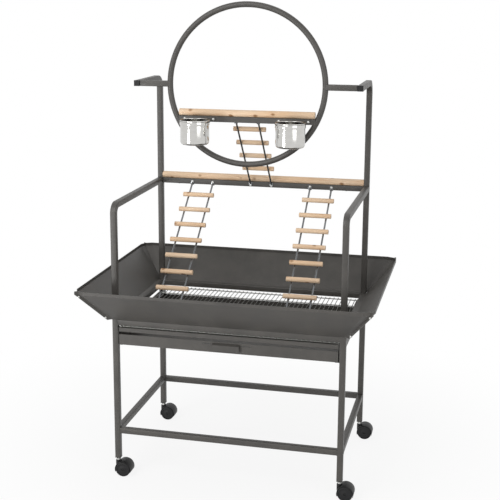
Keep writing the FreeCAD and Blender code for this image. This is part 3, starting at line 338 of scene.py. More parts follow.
def zinc_plate(name, shade, stretch, low, high, metallic=1.0):
    """Zinc plate on drawn steel: a soft mirror with streaks along the wire."""
    material, tree, shader, place = start_material(name)
    streaks = noise(tree, place, stretch, 4.0, 0.6).outputs["Fac"]
    worn = tuple(part * WORN for part in shade)
    tone = ramp(tree, streaks, [(0.25, worn), (0.6, tuple(shade))])
    rough = ramp(tree, streaks, [(0.3, grey(high)), (0.75, grey(low))])
    paint(tree, shader, tone, rough)
    shader.inputs["Metallic"].default_value = metallic
    bump(tree, shader, streaks, 0.06, 0.0002)
    return material


def moulded_plastic(name, shade, low, high):
    """Injection-moulded black plastic: fine spark texture, slightly uneven gloss."""
    material, tree, shader, place = start_material(name)
    # mould texture, drawn at 1.5 mm so that it shows
    grain = noise(tree, place, (660, 660, 660), 2.0).outputs["Fac"]
    dust = noise(tree, place, (55, 55, 55), 5.0).outputs["Fac"]
    factor, offset = DUSTY
    lighter = tuple(min(1.0, part * factor + offset) for part in shade)
    tone = ramp(tree, dust, [(0.4, tuple(shade)), (0.8, lighter)])
    rough = ramp(tree, dust, [(0.3, grey(low)), (0.8, grey(high))])
    paint(tree, shader, tone, rough)
    shader.inputs["IOR"].default_value = COATING_IOR
    shader.inputs["Specular IOR Level"].default_value = PLASTIC_SPECULAR
    bump(tree, shader, grain, 0.1, 0.0003)
    return material


FINISHES = {
    "charcoal_powder_coat": powder_coat,
    "sanded_softwood": sanded_wood,
    "polished_stainless": drawn_stainless,
    # streaks run along Y on the grille and along the slope on the ladders' rods
    "zinc_wire": lambda: zinc_plate(
        "zinc_wire", colours().zinc, (240, 12, 240), 0.22, 0.38
    ),
    "bright_rod": lambda: zinc_plate(
        "bright_rod", colours().rod, (240, 14, 14), 0.16, 0.3
    ),
    "zinc_screw": lambda: zinc_plate(
        "zinc_screw", colours().screw, (300, 300, 300), 0.3, 0.45, 0.65
    ),
    "caster_cover_plastic": lambda: moulded_plastic(
        "caster_cover_plastic", colours().plastic, 0.42, 0.55
    ),
    "wheel_plastic": lambda: moulded_plastic("wheel_plastic", colours().tread, 0.5, 0.65),
}


def finish(name):
    """The named material, made the first time it is asked for."""
    return bpy.data.materials.get(name) or FINISHES[name]()


# ---------------------------------------------------------------------- shape helpers
# widths of the rounded edges
EDGES = {
    "nut": 0.3 * MM,
    "pin": 0.4 * MM,
    "band": 0.5 * MM,
    "cover": 0.5 * MM,
    "plate": 0.6 * MM,
    "boss": 0.8 * MM,
    "perch": 0.8 * MM,
    "rung": 1.0 * MM,
    "web": 1.0 * MM,
    "tab": 1.1 * MM,
    "stub": 2 * MM,
}
SAME_POINT = 0.01 * MM
BEND_STEPS = 14
WELD_SHORTER = 1 * MM  # a bead is this much shorter than the tube's side
WELD_DEPTH = 0.35  # of its radius, from the tube's face in to the bead's centre line


def clear_selection():
    if bpy.context.mode != "OBJECT":
        bpy.ops.object.mode_set(mode="OBJECT")
    bpy.ops.object.select_all(action="DESELECT")


def pick(piece):
    clear_selection()
    piece.select_set(True)
    bpy.context.view_layer.objects.active = piece


def settle(piece):
    """Put a piece's place into its mesh, so that its object lies at the origin."""
    pick(piece)
    bpy.ops.object.transform_apply(location=True, rotation=True, scale=True)
    return piece


def smooth(piece, degrees=35):
    pick(piece)
    bpy.ops.object.shade_smooth_by_angle(angle=math.radians(degrees))
    return piece


def bevel(piece, width, segments=2, degrees=40):
    """Round a piece's sharp edges."""
    pick(piece)
    modifier = piece.modifiers.new("Rounded edges", "BEVEL")
    modifier.width = width
    modifier.segments = segments
    modifier.limit_method = "ANGLE"
    modifier.angle_limit = math.radians(degrees)
    bpy.ops.object.modifier_apply(modifier=modifier.name)
    return piece


def carve(piece, tool):
    """Take the tool's shape out of a piece, and remove the tool."""
    pick(piece)
    modifier = piece.modifiers.new("Carved", "BOOLEAN")
    modifier.operation = "DIFFERENCE"
    modifier.solver = "EXACT"
    modifier.object = tool
    bpy.ops.object.modifier_apply(modifier=modifier.name)
    bpy.data.objects.remove(tool)


def block(low, high):
    """A box from its lowest to its highest corner."""
    clear_selection()
    low = Vector(low)
    high = Vector(high)
    bpy.ops.mesh.primitive_cube_add(size=1, location=(low + high) / 2)
    piece = bpy.context.active_object
    piece.scale = high - low
    return settle(piece)


def rod(radius, extent, sides=32):
    """A round bar along Z, centred on the origin."""
    clear_selection()
    bpy.ops.mesh.primitive_cylinder_add(vertices=sides, radius=radius, depth=extent)
    return bpy.context.active_object


def turned(profile, sides=64):
    """A round piece on the Z axis: the disc at its foot is drawn up along (radius, height)."""
    clear_selection()
    radius, height = profile[0]
    bpy.ops.mesh.primitive_circle_add(
        vertices=sides, radius=radius, fill_type="NGON", location=(0, 0, height)
    )
    piece = settle(bpy.context.active_object)
    pick(piece)
    bpy.ops.object.mode_set(mode="EDIT")
    bpy.ops.mesh.select_all(action="SELECT")
    for next_radius, next_height in profile[1:]:
        step = (0, 0, next_height - height)
        bpy.ops.mesh.extrude_region_move(TRANSFORM_OT_translate={"value": step})
        share = next_radius / radius
        bpy.ops.transform.resize(
            value=(share, share, 1), center_override=(0, 0, next_height)
        )
        radius, height = next_radius, next_height
    bpy.ops.mesh.select_all(action="SELECT")
    bpy.ops.mesh.normals_make_consistent(inside=False)
    bpy.ops.object.mode_set(mode="OBJECT")
    return piece


def arc(centre, radius, start, sweep, steps, first=0):
    """A profile's points on an arc round a centre (radius, height); angles in degrees."""
    points = []
    for step in range(first, steps + 1):
        angle = math.radians(start + sweep * step / steps)
        points.append(
            (centre[0] + radius * math.cos(angle), centre[1] + radius * math.sin(angle))
        )
    return points


def lying(direction):
    """The turn that lays the Z axis along a direction."""
    return Vector(direction).to_track_quat("Z", "Y").to_matrix().to_4x4()


def start_tube(spot, normal):
    """A round-cornered square face across a tube's start, in edit mode, ready to be drawn on."""
    clear_selection()
    bpy.ops.mesh.primitive_plane_add(size=sizes().tube)
    piece = bpy.context.active_object
    piece.data.transform(moved(*spot) @ lying(normal))
    pick(piece)
    bpy.ops.object.mode_set(mode="EDIT")
    bpy.ops.mesh.select_all(action="SELECT")
    bpy.ops.mesh.bevel(offset=sizes().tube_corner, segments=3, affect="VERTICES")
    return piece


def draw_on(*step):
    """Draw the tube's open end straight on."""
    bpy.ops.mesh.extrude_region_move(TRANSFORM_OT_translate={"value": step})


def swing(centre, axis, degrees):
    """Draw the tube's end round a bend."""
    bpy.ops.mesh.spin(
        steps=BEND_STEPS, angle=math.radians(degrees), center=centre, axis=axis
    )


def close_tube(piece):
    bpy.ops.mesh.select_all(action="SELECT")
    bpy.ops.mesh.remove_doubles(threshold=SAME_POINT)
    bpy.ops.mesh.normals_make_consistent(inside=False)
    bpy.ops.object.mode_set(mode="OBJECT")
    return smooth(piece)


def straight_bar(node):
    """A square tube that fills its CAD node's box, with rounded corners along it."""
    low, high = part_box(node)
    span = high - low
    run = max(range(3), key=lambda i: span[i])
    start = (low + high) / 2
    start[run] = low[run]
    along = Vector((0, 0, 0))
    along[run] = span[run]
    piece = start_tube(start, along)
    draw_on(*along)
    return close_tube(piece)


def weld_ring(spot, normal):
    """A bead of weld round the end of a square tube that butts on another."""
    half = sizes().tube / 2
    bead = sizes().weld / 2
    sides = []
    for quarter in range(4):
        run = smooth(rod(bead, 2 * half - WELD_SHORTER, sides=10))
        side = turn(90 * quarter, "Z") @ moved(half - bead * WELD_DEPTH, 0, 0)
        run.data.transform(moved(*spot) @ lying(normal) @ side @ turn(90, "X"))
        sides.append(run)
    return sides


def copied(master, place):
    """A copy of a modelled piece, moved to its place, with a mesh of its own."""
    twin = master.copy()
    twin.data = master.data.copy()
    twin.data.transform(place)
    bpy.context.scene.collection.objects.link(twin)
    return twin


def spread(master, places, name):
    """Copies of a modelled piece in its places, joined under one name."""
    made = [copied(master, place) for place in places]
    bpy.data.objects.remove(master)
    return together(made, name)


def together(pieces, name):
    """Join pieces into one object."""
    clear_selection()
    for piece in pieces:
        piece.select_set(True)
    bpy.context.view_layer.objects.active = pieces[0]
    if len(pieces) > 1:
        bpy.ops.object.join()
    whole = bpy.context.active_object
    whole.name = name
    whole.data.name = name
    return whole


def dress(piece, material):
    piece.data.materials.clear()
    piece.data.materials.append(finish(material))
    for face in piece.data.polygons:
        face.material_index = 0


def hand_over(piece, body, material, slot, *nodes):
    """Give a finished piece its material and body, and let it stand for CAD nodes."""
    dress(piece, material)
    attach(piece, body)
    if nodes:
        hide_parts(*nodes)


def coat_nodes(names, material):
    """Give CAD nodes, which keep their shape, their finished material."""
    for name in names:
        dress(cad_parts[name], material)


def middle(node):
    low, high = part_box(node)
    return (low + high) / 2


def moved(*place):
    return Matrix.Translation(Vector(place))


def turn(degrees, axis):
    return Matrix.Rotation(math.radians(degrees), 4, axis)


# ------------------------------------------------------------------- pieces: metalwork
class STAND_OT_frame(Operator):
    """Model the legs and rails of square tube with their weld beads"""

    bl_idname = "stand.frame"
    bl_label = "Legs and rails"

    def execute(self, context):
        rails = [
            f"{level}_rail_{end}"
            for level in ("lower", "upper")
            for end in WALLS
        ]
        for node in [f"leg_{corner}" for corner in CORNERS] + ["mid_bar"]:
            piece = together([straight_bar(node)], f"{node}_finished")
            hand_over(piece, "stand", "charcoal_powder_coat", "charcoal", node)
        for node in rails:
            low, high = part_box(node)
            centre = (low + high) / 2
            parts = [straight_bar(node)]
            run = 0 if high.x - low.x > high.y - low.y else 1
            for end in (low, high):
                spot = centre.copy()
                spot[run] = end[run]
                normal = Vector((0, 0, 0))
                normal[run] = 1
                parts += weld_ring(spot, normal)
            piece = together(parts, f"{node}_finished")
            hand_over(piece, "stand", "charcoal_powder_coat", "charcoal", node)
        coat_nodes(["runner_left", "runner_right", "hoop_bar"], "charcoal_powder_coat")
        coat_nodes(["caster_inserts"], "caster_cover_plastic")
        coat_nodes(["post_spigots"], "zinc_screw")
        return {"FINISHED"}


class STAND_OT_posts(Operator):
    """Model the bent handrails and uprights, and coat the arms' end caps"""

    bl_idname = "stand.posts"
    bl_label = "Handrails and uprights"

    def execute(self, context):
        half = sizes().tube / 2
        for kind, bend in (("handrail", sizes().handrail_bend), ("upright", sizes().arm_bend)):
            forward = 1 if kind == "handrail" else -1
            for side in SIDES:
                node = f"{kind}_{side}"
                low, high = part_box(node)
                x = (low.x + high.x) / 2
                y = low.y + half if forward > 0 else high.y - half
                end = high.y if forward > 0 else low.y
                turn_z = high.z - half - bend
                piece = start_tube((x, y, low.z), (0, 0, 1))
                draw_on(0, 0, turn_z - low.z)
                centre = (x, y + forward * bend, turn_z)
                swing(centre, (1, 0, 0), 90 * forward)
                draw_on(0, end - y - forward * bend, 0)
                piece = together([close_tube(piece)], f"{node}_finished")
                hand_over(piece, "stand", "charcoal_powder_coat", "charcoal", node)
        coat_nodes(["arm_end_caps"], "caster_cover_plastic")
        return {"FINISHED"}


class STAND_OT_guards(Operator):
    """Coat the four folded guards round the tray"""

    bl_idname = "stand.guards"
    bl_label = "Tray guards"

    def execute(self, context):
        coat_nodes([f"guard_{side}" for side in WALLS], "charcoal_powder_coat")
        return {"FINISHED"}


class STAND_OT_hoop(Operator):
    """Model the bent round hoop and the two square stubs that join it to the arms"""

    bl_idname = "stand.hoop"
    bl_label = "Hoop"

    def execute(self, context):
        low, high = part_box("hoop")
        centre = (low + high) / 2
        tube = sizes().tube / 2
        radius = (high.z - low.z) / 2 - tube
        clear_selection()
        bpy.ops.mesh.primitive_torus_add(
            major_segments=144, minor_segments=24, major_radius=radius, minor_radius=tube
        )
        ring = smooth(bpy.context.active_object)
        ring.data.transform(moved(*centre) @ turn(90, "X"))
        parts = [ring]
        for end in (low.x, high.x):
            inner = centre.x + math.copysign(radius, end)
            stub = block(
                (min(inner, end), centre.y - tube, centre.z - tube),
                (max(inner, end), centre.y + tube, centre.z + tube),
            )
            parts.append(smooth(bevel(stub, EDGES["stub"], 3)))
        hoop = together(parts, "hoop_finished")
        hand_over(hoop, "stand", "charcoal_powder_coat", "charcoal", "hoop")
        return {"FINISHED"}


class STAND_OT_drawer(Operator):
    """Coat the folded drawer"""

    bl_idname = "stand.drawer"
    bl_label = "Drawer"

    def execute(self, context):
        coat_nodes(["drawer"], "charcoal_powder_coat")
        return {"FINISHED"}


SOLID_WIRE_SIDES = 6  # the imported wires' section has corners at its left and right


class STAND_OT_grille(Operator):
    """Model the pull-out grille's round wires"""

    bl_idname = "stand.grille"
    bl_label = "Grille"

    def execute(self, context):
        size = sizes()
        low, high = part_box("grille_wires")
        centre = (low + high) / 2
        half_frame = size.frame_wire / 2
        level = low.z + half_frame
        side = high.x - half_frame / math.cos(math.radians(180 / SOLID_WIRE_SIDES))
        front = low.y
        back = high.y
        parts = []
        long_wire = smooth(rod(half_frame, back - front, sides=12))
        along = turn(90, "X")
        places = [moved(s * side, centre.y, level) @ along for s in (-1, 1)]
        parts.append(spread(long_wire, places, "edge_wires"))
        cross_wire = smooth(rod(half_frame, 2 * side, sides=12))
        rows = [front + size.frame_wire]
        row = back - size.frame_wire
        while row > front + size.cross_pitch:
            rows.append(row)
            row -= size.cross_pitch
        across = turn(90, "Y")
        places = [moved(0, y, level) @ across for y in rows]
        parts.append(spread(cross_wire, places, "cross_wires"))
        bar = smooth(rod(size.bar_wire / 2, back - front, sides=10))
        count = round((high.x - low.x) / size.bar_pitch) - 1
        height = high.z - size.bar_wire / 2
        places = [
            moved((number - (count - 1) / 2) * size.bar_pitch, centre.y, height) @ along
            for number in range(count)
        ]
        parts.append(spread(bar, places, "bars"))
        grille = together(parts, "grille_wires_finished")
        hand_over(grille, "grille", "zinc_wire", "zinc", "grille_wires")
        coat_nodes(["grille_strip"], "charcoal_powder_coat")
        return {"FINISHED"}


# -------------------------------------------------------------------- pieces: ladders
ROD_END = 2 / 3  # of a tab's height, from the tab's end to the rod's
RUNG_TWIST = 47  # degrees from rung to rung, so that no two show the same side of the wood


class Slope:
    """One ladder's rods, read from its CAD node: upper end, lower end and directions."""

    def __init__(self, node, faces_back):
        size = sizes()
        low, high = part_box(node)
        rise = size.tab_height * ROD_END
        front_y = low.y + size.tab_thickness
        back_y = high.y - size.tab_thickness
        self.x = (low.x + high.x) / 2
        self.half = (high.x - low.x - size.tab_width) / 2
        top_y, foot_y = (front_y, back_y) if faces_back else (back_y, front_y)
        self.top = Vector((self.x, top_y, high.z - rise))
        self.foot = Vector((self.x, foot_y, low.z + rise))
        self.length = (self.top - self.foot).length
        self.along = (self.top - self.foot).normalized()
        up_side = Vector((1, 0, 0)).cross(self.along)
        self.normal = up_side if up_side.z > 0 else -up_side

    def frame(self, distance, across=0.0, lift=0.0):
        """A place on the slope, its Z axis along the rods, counted down from the top."""
        spot = self.top - self.along * distance + self.normal * lift
        spot.x += across
        side = self.along.cross(Vector((1, 0, 0)))
        turned_to = Matrix((Vector((1, 0, 0)), -side, self.along)).transposed().to_4x4()
        return moved(*spot) @ turned_to


LADDERS = (("left_ladder", False), ("right_ladder", False), ("centre_ladder", True))


class STAND_OT_rods(Operator):
    """Model the ladders' plated rods with their flattened ends"""

    bl_idname = "stand.rods"
    bl_label = "Ladder rods"

    def execute(self, context):
        size = sizes()
        for ladder, faces_back in LADDERS:
            node = f"{ladder}_rods"
            slope = Slope(node, faces_back)
            low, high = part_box(node)
            bar = smooth(rod(size.rod / 2, slope.length, sides=32))
            places = [slope.frame(slope.length / 2, s * slope.half) for s in (-1, 1)]
            parts = [spread(bar, places, "bars")]
            for end_z, at_top in ((high.z, True), (low.z, False)):
                on_back = at_top != faces_back
                y0 = high.y - size.tab_thickness if on_back else low.y
                z0 = end_z - size.tab_height if at_top else end_z
                for s in (-1, 1):
                    x0 = slope.x + s * slope.half - size.tab_width / 2
                    tab = block(
                        (x0, y0, z0),
                        (x0 + size.tab_width, y0 + size.tab_thickness, z0 + size.tab_height),
                    )
                    parts.append(smooth(bevel(tab, EDGES["tab"], 3)))
            piece = together(parts, f"{node}_finished")
            hand_over(piece, "stand", "bright_rod", "zinc", node)
        return {"FINISHED"}


class STAND_OT_rungs(Operator):
    """Model the wooden rungs with their eased ends"""

    bl_idname = "stand.rungs"
    bl_label = "Rungs"

    def execute(self, context):
        size = sizes()
        lift = size.rod / 2 + size.rung / 2 - size.rung_seat
        for ladder, faces_back in LADDERS:
            slope = Slope(f"{ladder}_rods", faces_back)
            count = size.centre_rungs if faces_back else size.side_rungs
            first = size.centre_first
            if not faces_back:
                first = (slope.length - (count - 1) * size.rung_pitch) / 2
            rung = smooth(bevel(rod(size.rung / 2, size.rung_length, sides=40), EDGES["rung"]))
            places = [
                slope.frame(first + number * size.rung_pitch, 0, lift)
                @ turn(90, "Y")
                @ turn(RUNG_TWIST * number, "Z")
                for number in range(count)
            ]
            piece = spread(rung, places, f"{ladder}_rungs_finished")
            hand_over(piece, "stand", "sanded_softwood", "wood", f"{ladder}_rungs")
        return {"FINISHED"}


class STAND_OT_perches(Operator):
    """Model the two dowel perches with the flat on which each lies"""

    bl_idname = "stand.perches"
    bl_label = "Perches"

    def execute(self, context):
        radius = sizes().dowel / 2
        for node in ("hoop_dowel", "mid_dowel"):
            low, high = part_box(node)
            centre = Vector(((low.x + high.x) / 2, (low.y + high.y) / 2, high.z - radius))
            perch = rod(radius, high.x - low.x, sides=64)
            perch.data.transform(moved(*centre) @ turn(90, "Y"))
            pick(perch)
            bpy.ops.object.mode_set(mode="EDIT")
            bpy.ops.mesh.select_all(action="SELECT")
            bpy.ops.mesh.bisect(
                plane_co=(0, 0, low.z), plane_no=(0, 0, 1), use_fill=True, clear_inner=True
            )
            bpy.ops.object.mode_set(mode="OBJECT")
            smooth(bevel(perch, EDGES["perch"]))
            piece = together([perch], f"{node}_finished")
            hand_over(piece, "stand", "sanded_softwood", "wood", node)
        return {"FINISHED"}


# ----------------------------------------------------------------------- pieces: cups
NECK_OVERLAP = 2.2 * MM  # the neck's reach into the band
NECK_INSET = 0.4 * MM  # the neck's upper and lower face behind the band's edges
FOOT_WIDTH = 12 * MM  # the ring on which a cup stands
FOOT_RISE = 0.6 * MM  # the middle of the base above that ring
RIM_START, RIM_SWEEP = -70, 230  # degrees round the rolled rim
RIM_LIP = 0.3 * MM  # the rim's inner end inside the wall


class STAND_OT_holders(Operator):
    """Model the cup holders: a steel band round the cup on a screwed plate"""

    bl_idname = "stand.holders"
    bl_label = "Cup holders"

    def execute(self, context):
        size = sizes()
        for side in SIDES:
            node = f"cup_holder_{side}"
            low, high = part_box(node)
            cup = middle(f"cup_{side}")
            outer = cup.y - low.y
            height = size.holder_height
            level = low.z + height / 2
            band = rod(outer, height, sides=96)
            carve(band, rod(outer - size.holder_band, 2 * height, sides=96))
            band.data.transform(moved(cup.x, cup.y, level))
            neck = block(
                (cup.x - height, cup.y + outer - NECK_OVERLAP, low.z + NECK_INSET),
                (cup.x + height, high.y - size.holder_plate / 2, low.z + height - NECK_INSET),
            )
            steel = together([smooth(bevel(band, EDGES["band"])), neck], f"cup_band_{side}")
            hand_over(steel, "stand", "polished_stainless", "cup_steel", node)
            plate = block(
                (low.x, high.y - size.holder_plate, high.z - size.holder_plate_height),
                (high.x, high.y, high.z),
            )
            plate.name = f"cup_plate_{side}"
            smooth(bevel(plate, EDGES["plate"]))
            hand_over(plate, "stand", "charcoal_powder_coat", "charcoal")
        return {"FINISHED"}


class STAND_OT_cups(Operator):
    """Model the two deep-drawn cups with rounded bases and rolled rims"""

    bl_idname = "stand.cups"
    bl_label = "Cups"

    def execute(self, context):
        size = sizes()
        low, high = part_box("cup_left")
        tall = high.z - low.z
        bead = size.cup_bead / 2
        radius = (high.x - low.x) / 2 - bead
        wall = size.cup_wall
        bend = size.cup_bend
        side_height = tall - size.cup_bead - bend
        profile = [(radius - bend - FOOT_WIDTH, FOOT_RISE), (radius - bend, 0)]
        profile += arc((radius - bend, bend), bend, -90, 90, 8, first=1)
        profile += [(radius, bend + side_height * step / 3) for step in range(1, 4)]
        profile += arc((radius, tall - bead), bead, RIM_START, RIM_SWEEP, 14)
        inside = radius - wall
        tight = bend - wall
        profile += [
            (inside - RIM_LIP, tall - size.cup_bead),
            (inside, tall / 2),
            (inside, bend),
        ]
        profile += arc((inside - tight, bend), tight, 0, -90, 6, first=1)
        profile.append((inside - bend - FOOT_WIDTH, wall + FOOT_RISE))
        cup = smooth(turned(profile, sides=96), degrees=50)
        for side in SIDES:
            spot = middle(f"cup_{side}")
            twin = copied(cup, moved(spot.x, spot.y, low.z))
            twin.name = f"cup_{side}_finished"
            hand_over(twin, f"cup_{side}", "polished_stainless", "cup_steel", f"cup_{side}")
        bpy.data.objects.remove(cup)
        return {"FINISHED"}


# -------------------------------------------------------------------- pieces: casters
WHEEL_GAP = 0.5 * MM  # between a wheel and the web
WEB_FOOT = 0.6  # of the wheel's diameter, up to the web's lower edge
WEB_DROP = 1 * MM  # the web's upper edge below the boss's
COVER_OPEN = 9 * MM  # under the axle, where the cover ends
PIN_SHORTER = 4 * MM  # the axle pin is this much shorter than the cover is wide
BORE_GAP = 0.3 * MM  # between the axle and a wheel's bore

# A wheel's section: millimetres in from the tread, inner (-1) or outer (1) face, and
# millimetres in from that face.
WHEEL_SECTION = (
    (6, -1, 0),  # plain inner face, with a rounded edge
    (2.5, -1, 0),
    (0.8, -1, 0.7),
    (0, -1, 2.5),  # tread
    (0, 1, 3),
    (0.9, 1, 0.9),  # rounded outer edge
    (3, 1, 0),  # rim
    (5, 1, 0),
    (6, 1, 1.6),  # dished face
    (14, 1, 2.2),
    (16, 1, 1.2),  # ring round the hub
    (20.5, 1, 1.0),
    (21, 1, 2.0),  # hub
)


class STAND_OT_casters(Operator):
    """Model the twin-wheel casters' covers and wheels with dished faces, and coat their stems"""

    bl_idname = "stand.casters"
    bl_label = "Casters"

    def execute(self, context):
        size = sizes()
        cover = self.cover(size)
        wheel = self.wheel(size)
        for corner in CORNERS:
            leg = middle(f"leg_{corner}")
            piece = copied(cover, moved(leg.x, leg.y, 0))
            piece.name = f"caster_cover_{corner}"
            hand_over(
                piece,
                f"caster_{corner}",
                "caster_cover_plastic",
                "black_plastic",
                f"caster_hood_{corner}",
            )
            for end, facing in (("fore", 180), ("aft", 0)):
                node = f"caster_wheel_{corner}_{end}"
                upright = turn(facing, "Z") @ turn(-90, "X")
                disc = copied(wheel, moved(*middle(node)) @ upright)
                disc.name = f"wheel_{corner}_{end}_finished"
                hand_over(
                    disc, f"wheel_{corner}_{end}", "wheel_plastic", "black_tread", node
                )
        bpy.data.objects.remove(cover)
        bpy.data.objects.remove(wheel)
        coat_nodes(["caster_stems"], "zinc_screw")
        return {"FINISHED"}

    def cover(self, size):
        """Cover, middle web and swivel boss, with the stem's axis on Z."""
        half_track = size.web / 2 + WHEEL_GAP + size.wheel_width
        axle = moved(size.trail, 0, size.wheel / 2)
        flat = turn(90, "X")
        shell = rod(size.cover, 2 * half_track, sides=96)
        shell.data.transform(axle @ flat)
        boss = rod(size.boss, size.boss_top - size.wheel / 2, sides=48)
        boss.data.transform(moved(0, 0, (size.boss_top + size.wheel / 2) / 2))
        web = block(
            (-size.boss, -size.web / 2, size.wheel * WEB_FOOT),
            (size.boss, size.web / 2, size.boss_top - WEB_DROP),
        )
        room = size.cover - size.cover_wall
        for part in (shell, boss):
            for s in (-1, 1):
                well = rod(room, 2 * size.wheel_width, sides=96)
                shift = moved(0, s * (size.web / 2 + size.wheel_width), 0)
                well.data.transform(shift @ axle @ flat)
                carve(part, well)
        wide = 2 * size.wheel
        below = block((-wide, -wide, -wide), (wide, wide, size.wheel / 2 - COVER_OPEN))
        carve(shell, below)
        bevel(shell, EDGES["cover"])
        bevel(boss, EDGES["boss"])
        bevel(web, EDGES["web"])
        pin = bevel(rod(size.axle / 2, 2 * half_track - PIN_SHORTER, sides=24), EDGES["pin"])
        pin.data.transform(axle @ flat)
        return smooth(together([shell, boss, web, pin], "caster_cover"))

    def wheel(self, size):
        """One wheel on the Z axis, its dished face up."""
        radius = size.wheel / 2
        half = size.wheel_width / 2
        profile = [
            (radius - inset * MM, face * (half - depth * MM))
            for inset, face, depth in WHEEL_SECTION
        ]
        disc = turned(profile, sides=72)
        bore = rod(size.axle / 2 + BORE_GAP, 2 * size.wheel_width, sides=24)
        carve(disc, bore)
        return smooth(disc, degrees=40)


# --------------------------------------------------------------------- pieces: screws
TIP_INSET, TIP_LENGTH = 0.4 * MM, 0.5 * MM  # the chamfer on the shank's end
HEAD_INSET, HEAD_EDGE = 0.2 * MM, 0.4 * MM  # the eased edge under the dome
DOME_ANGLES = (15, 30, 45, 60, 75)
RECESS_WIDTH = 0.9 * MM
RECESS_DEPTH = 1.2 * MM
RECESS_ABOVE = 1 * MM  # the recess's tool stands this far above the head
NUT_SETBACK = 1 * MM  # from the shank's end to the nut

# the side to which each bar's ladder screws show their heads, along Y
LADDER_SCREW_SIDES = {"upper_rail_front": 1, "mid_bar": -1, "hoop_bar": 1}


class STAND_OT_screws(Operator):
    """Model the domed, cross-slotted screws"""

    bl_idname = "stand.screws"
    bl_label = "Screws"

    def execute(self, context):
        self.screw_group("ladder_screws", self.ladder_side)
        self.screw_group("perch_screws", lambda spot: Vector((0, 0, -1)))
        self.screw_group("cup_holder_screws", lambda spot: Vector((0, -1, 0)))
        self.screw_group("guard_corner_screws", self.corner_side, with_nut=True)
        return {"FINISHED"}

    def screw_group(self, node, facing, with_nut=False):
        """Finished screws in the places of a CAD node's screws, heads where facing points."""
        places = []
        for cloud in self.solids_of(node):
            heading = facing(sum(cloud, Vector()) / len(cloud))
            reach = [point.dot(heading) for point in cloud]
            low = Vector(min(point[i] for point in cloud) for i in range(3))
            high = Vector(max(point[i] for point in cloud) for i in range(3))
            spot = (low + high) / 2
            top = spot + heading * (max(reach) - spot.dot(heading))
            places.append(moved(*top) @ lying(heading))
            length_over_all = max(reach) - min(reach)
        screw = self.screw(length_over_all, with_nut)
        screws = spread(screw, places, f"{node}_finished")
        hand_over(screws, "stand", "zinc_screw", "zinc", node)

    def solids_of(self, node):
        """The corner points of each separate solid in a CAD node."""
        clear_selection()
        twin = copied(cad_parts[node], Matrix())
        twin.hide_set(False)
        pick(twin)
        bpy.ops.object.mode_set(mode="EDIT")
        bpy.ops.mesh.select_all(action="SELECT")
        bpy.ops.mesh.remove_doubles(threshold=SAME_POINT)
        bpy.ops.mesh.separate(type="LOOSE")
        bpy.ops.object.mode_set(mode="OBJECT")
        pieces = list(bpy.context.selected_objects)
        clouds = [
            [piece.matrix_world @ corner.co for corner in piece.data.vertices]
            for piece in pieces
        ]
        for piece in pieces:
            bpy.data.objects.remove(piece)
        return clouds

    def ladder_side(self, spot):
        """Ladder screws are driven along Y, into the bar that lies nearest."""
        bar = min(LADDER_SCREW_SIDES, key=lambda node: abs(spot.y - middle(node).y))
        return Vector((0, LADDER_SCREW_SIDES[bar], 0))

    def corner_side(self, spot):
        """Corner screws are square to the tray's diagonal, heads towards the front."""
        across = 1 if spot.x * spot.y > 0 else -1
        return Vector((across, -1, 0)).normalized()

    def screw(self, length_over_all, with_nut):
        """A screw on the Z axis with the top of its head at z = 0."""
        size = sizes()
        head = size.screw_head / 2
        rise = size.screw_rise
        half_shank = size.screw_shank / 2
        profile = [
            (half_shank - TIP_INSET, -length_over_all),
            (half_shank, -length_over_all + TIP_LENGTH),
            (half_shank, -rise),
            (head - HEAD_INSET, -rise),
            (head, -rise + HEAD_EDGE),
        ]
        for angle in map(math.radians, DOME_ANGLES):
            profile.append(
                (head * math.cos(angle), (rise - HEAD_EDGE) * (math.sin(angle) - 1))
            )
        piece = turned(profile, sides=24)
        for direction in (0, 90):
            slot = block(
                (-size.screw_recess / 2, -RECESS_WIDTH / 2, -RECESS_DEPTH),
                (size.screw_recess / 2, RECESS_WIDTH / 2, RECESS_ABOVE),
            )
            slot.data.transform(turn(direction, "Z"))
            carve(piece, slot)
        parts = [smooth(piece, degrees=30)]
        if with_nut:
            nut = bevel(rod(head, rise, sides=6), EDGES["nut"], 1)
            nut.data.transform(moved(0, 0, -length_over_all + rise / 2 + NUT_SETBACK))
            parts.append(smooth(nut, degrees=30))
        return together(parts, "screw")


# ------------------------------------------------------------------------------ stage
WHITE = (1, 1, 1, 1)
WORLD_LEVEL = 0.40
FLOOR_WIDTH = 5.6
FLOOR_FADE = (0.2, 1.5)  # from the stand's middle, in metres
FLOOR_WHITE = (0.86, 1.0)  # share of plain white at those two distances
LAMP_AIM = Vector((0, 0, 0.8))
LAMPS = (  # place, watts and width
    ("key_light", (-1.6, -3.4, 3.2), 80, 2.4),
    ("fill_light", (2.6, -2.6, 1.6), 24, 2.0),
    ("top_light", (0.2, 1.4, 3.9), 14, 2.4),
    ("low_light", (-1.9, -2.6, 0.35), 26, 0.7),
)

# the photograph's viewpoint, worked out from the frame's straight edges
CAMERA_PLACE = (0.7946, -3.4292, 1.5891)
CAMERA_YAW = 13.76
CAMERA_PITCH = 12.62
CAMERA_ROLL = 0.17
CAMERA_SENSOR = 36.0
CAMERA_LENS = 77.8
CAMERA_SHIFT = (0.0358, -0.0384)
CAMERA_REACH = 100.0


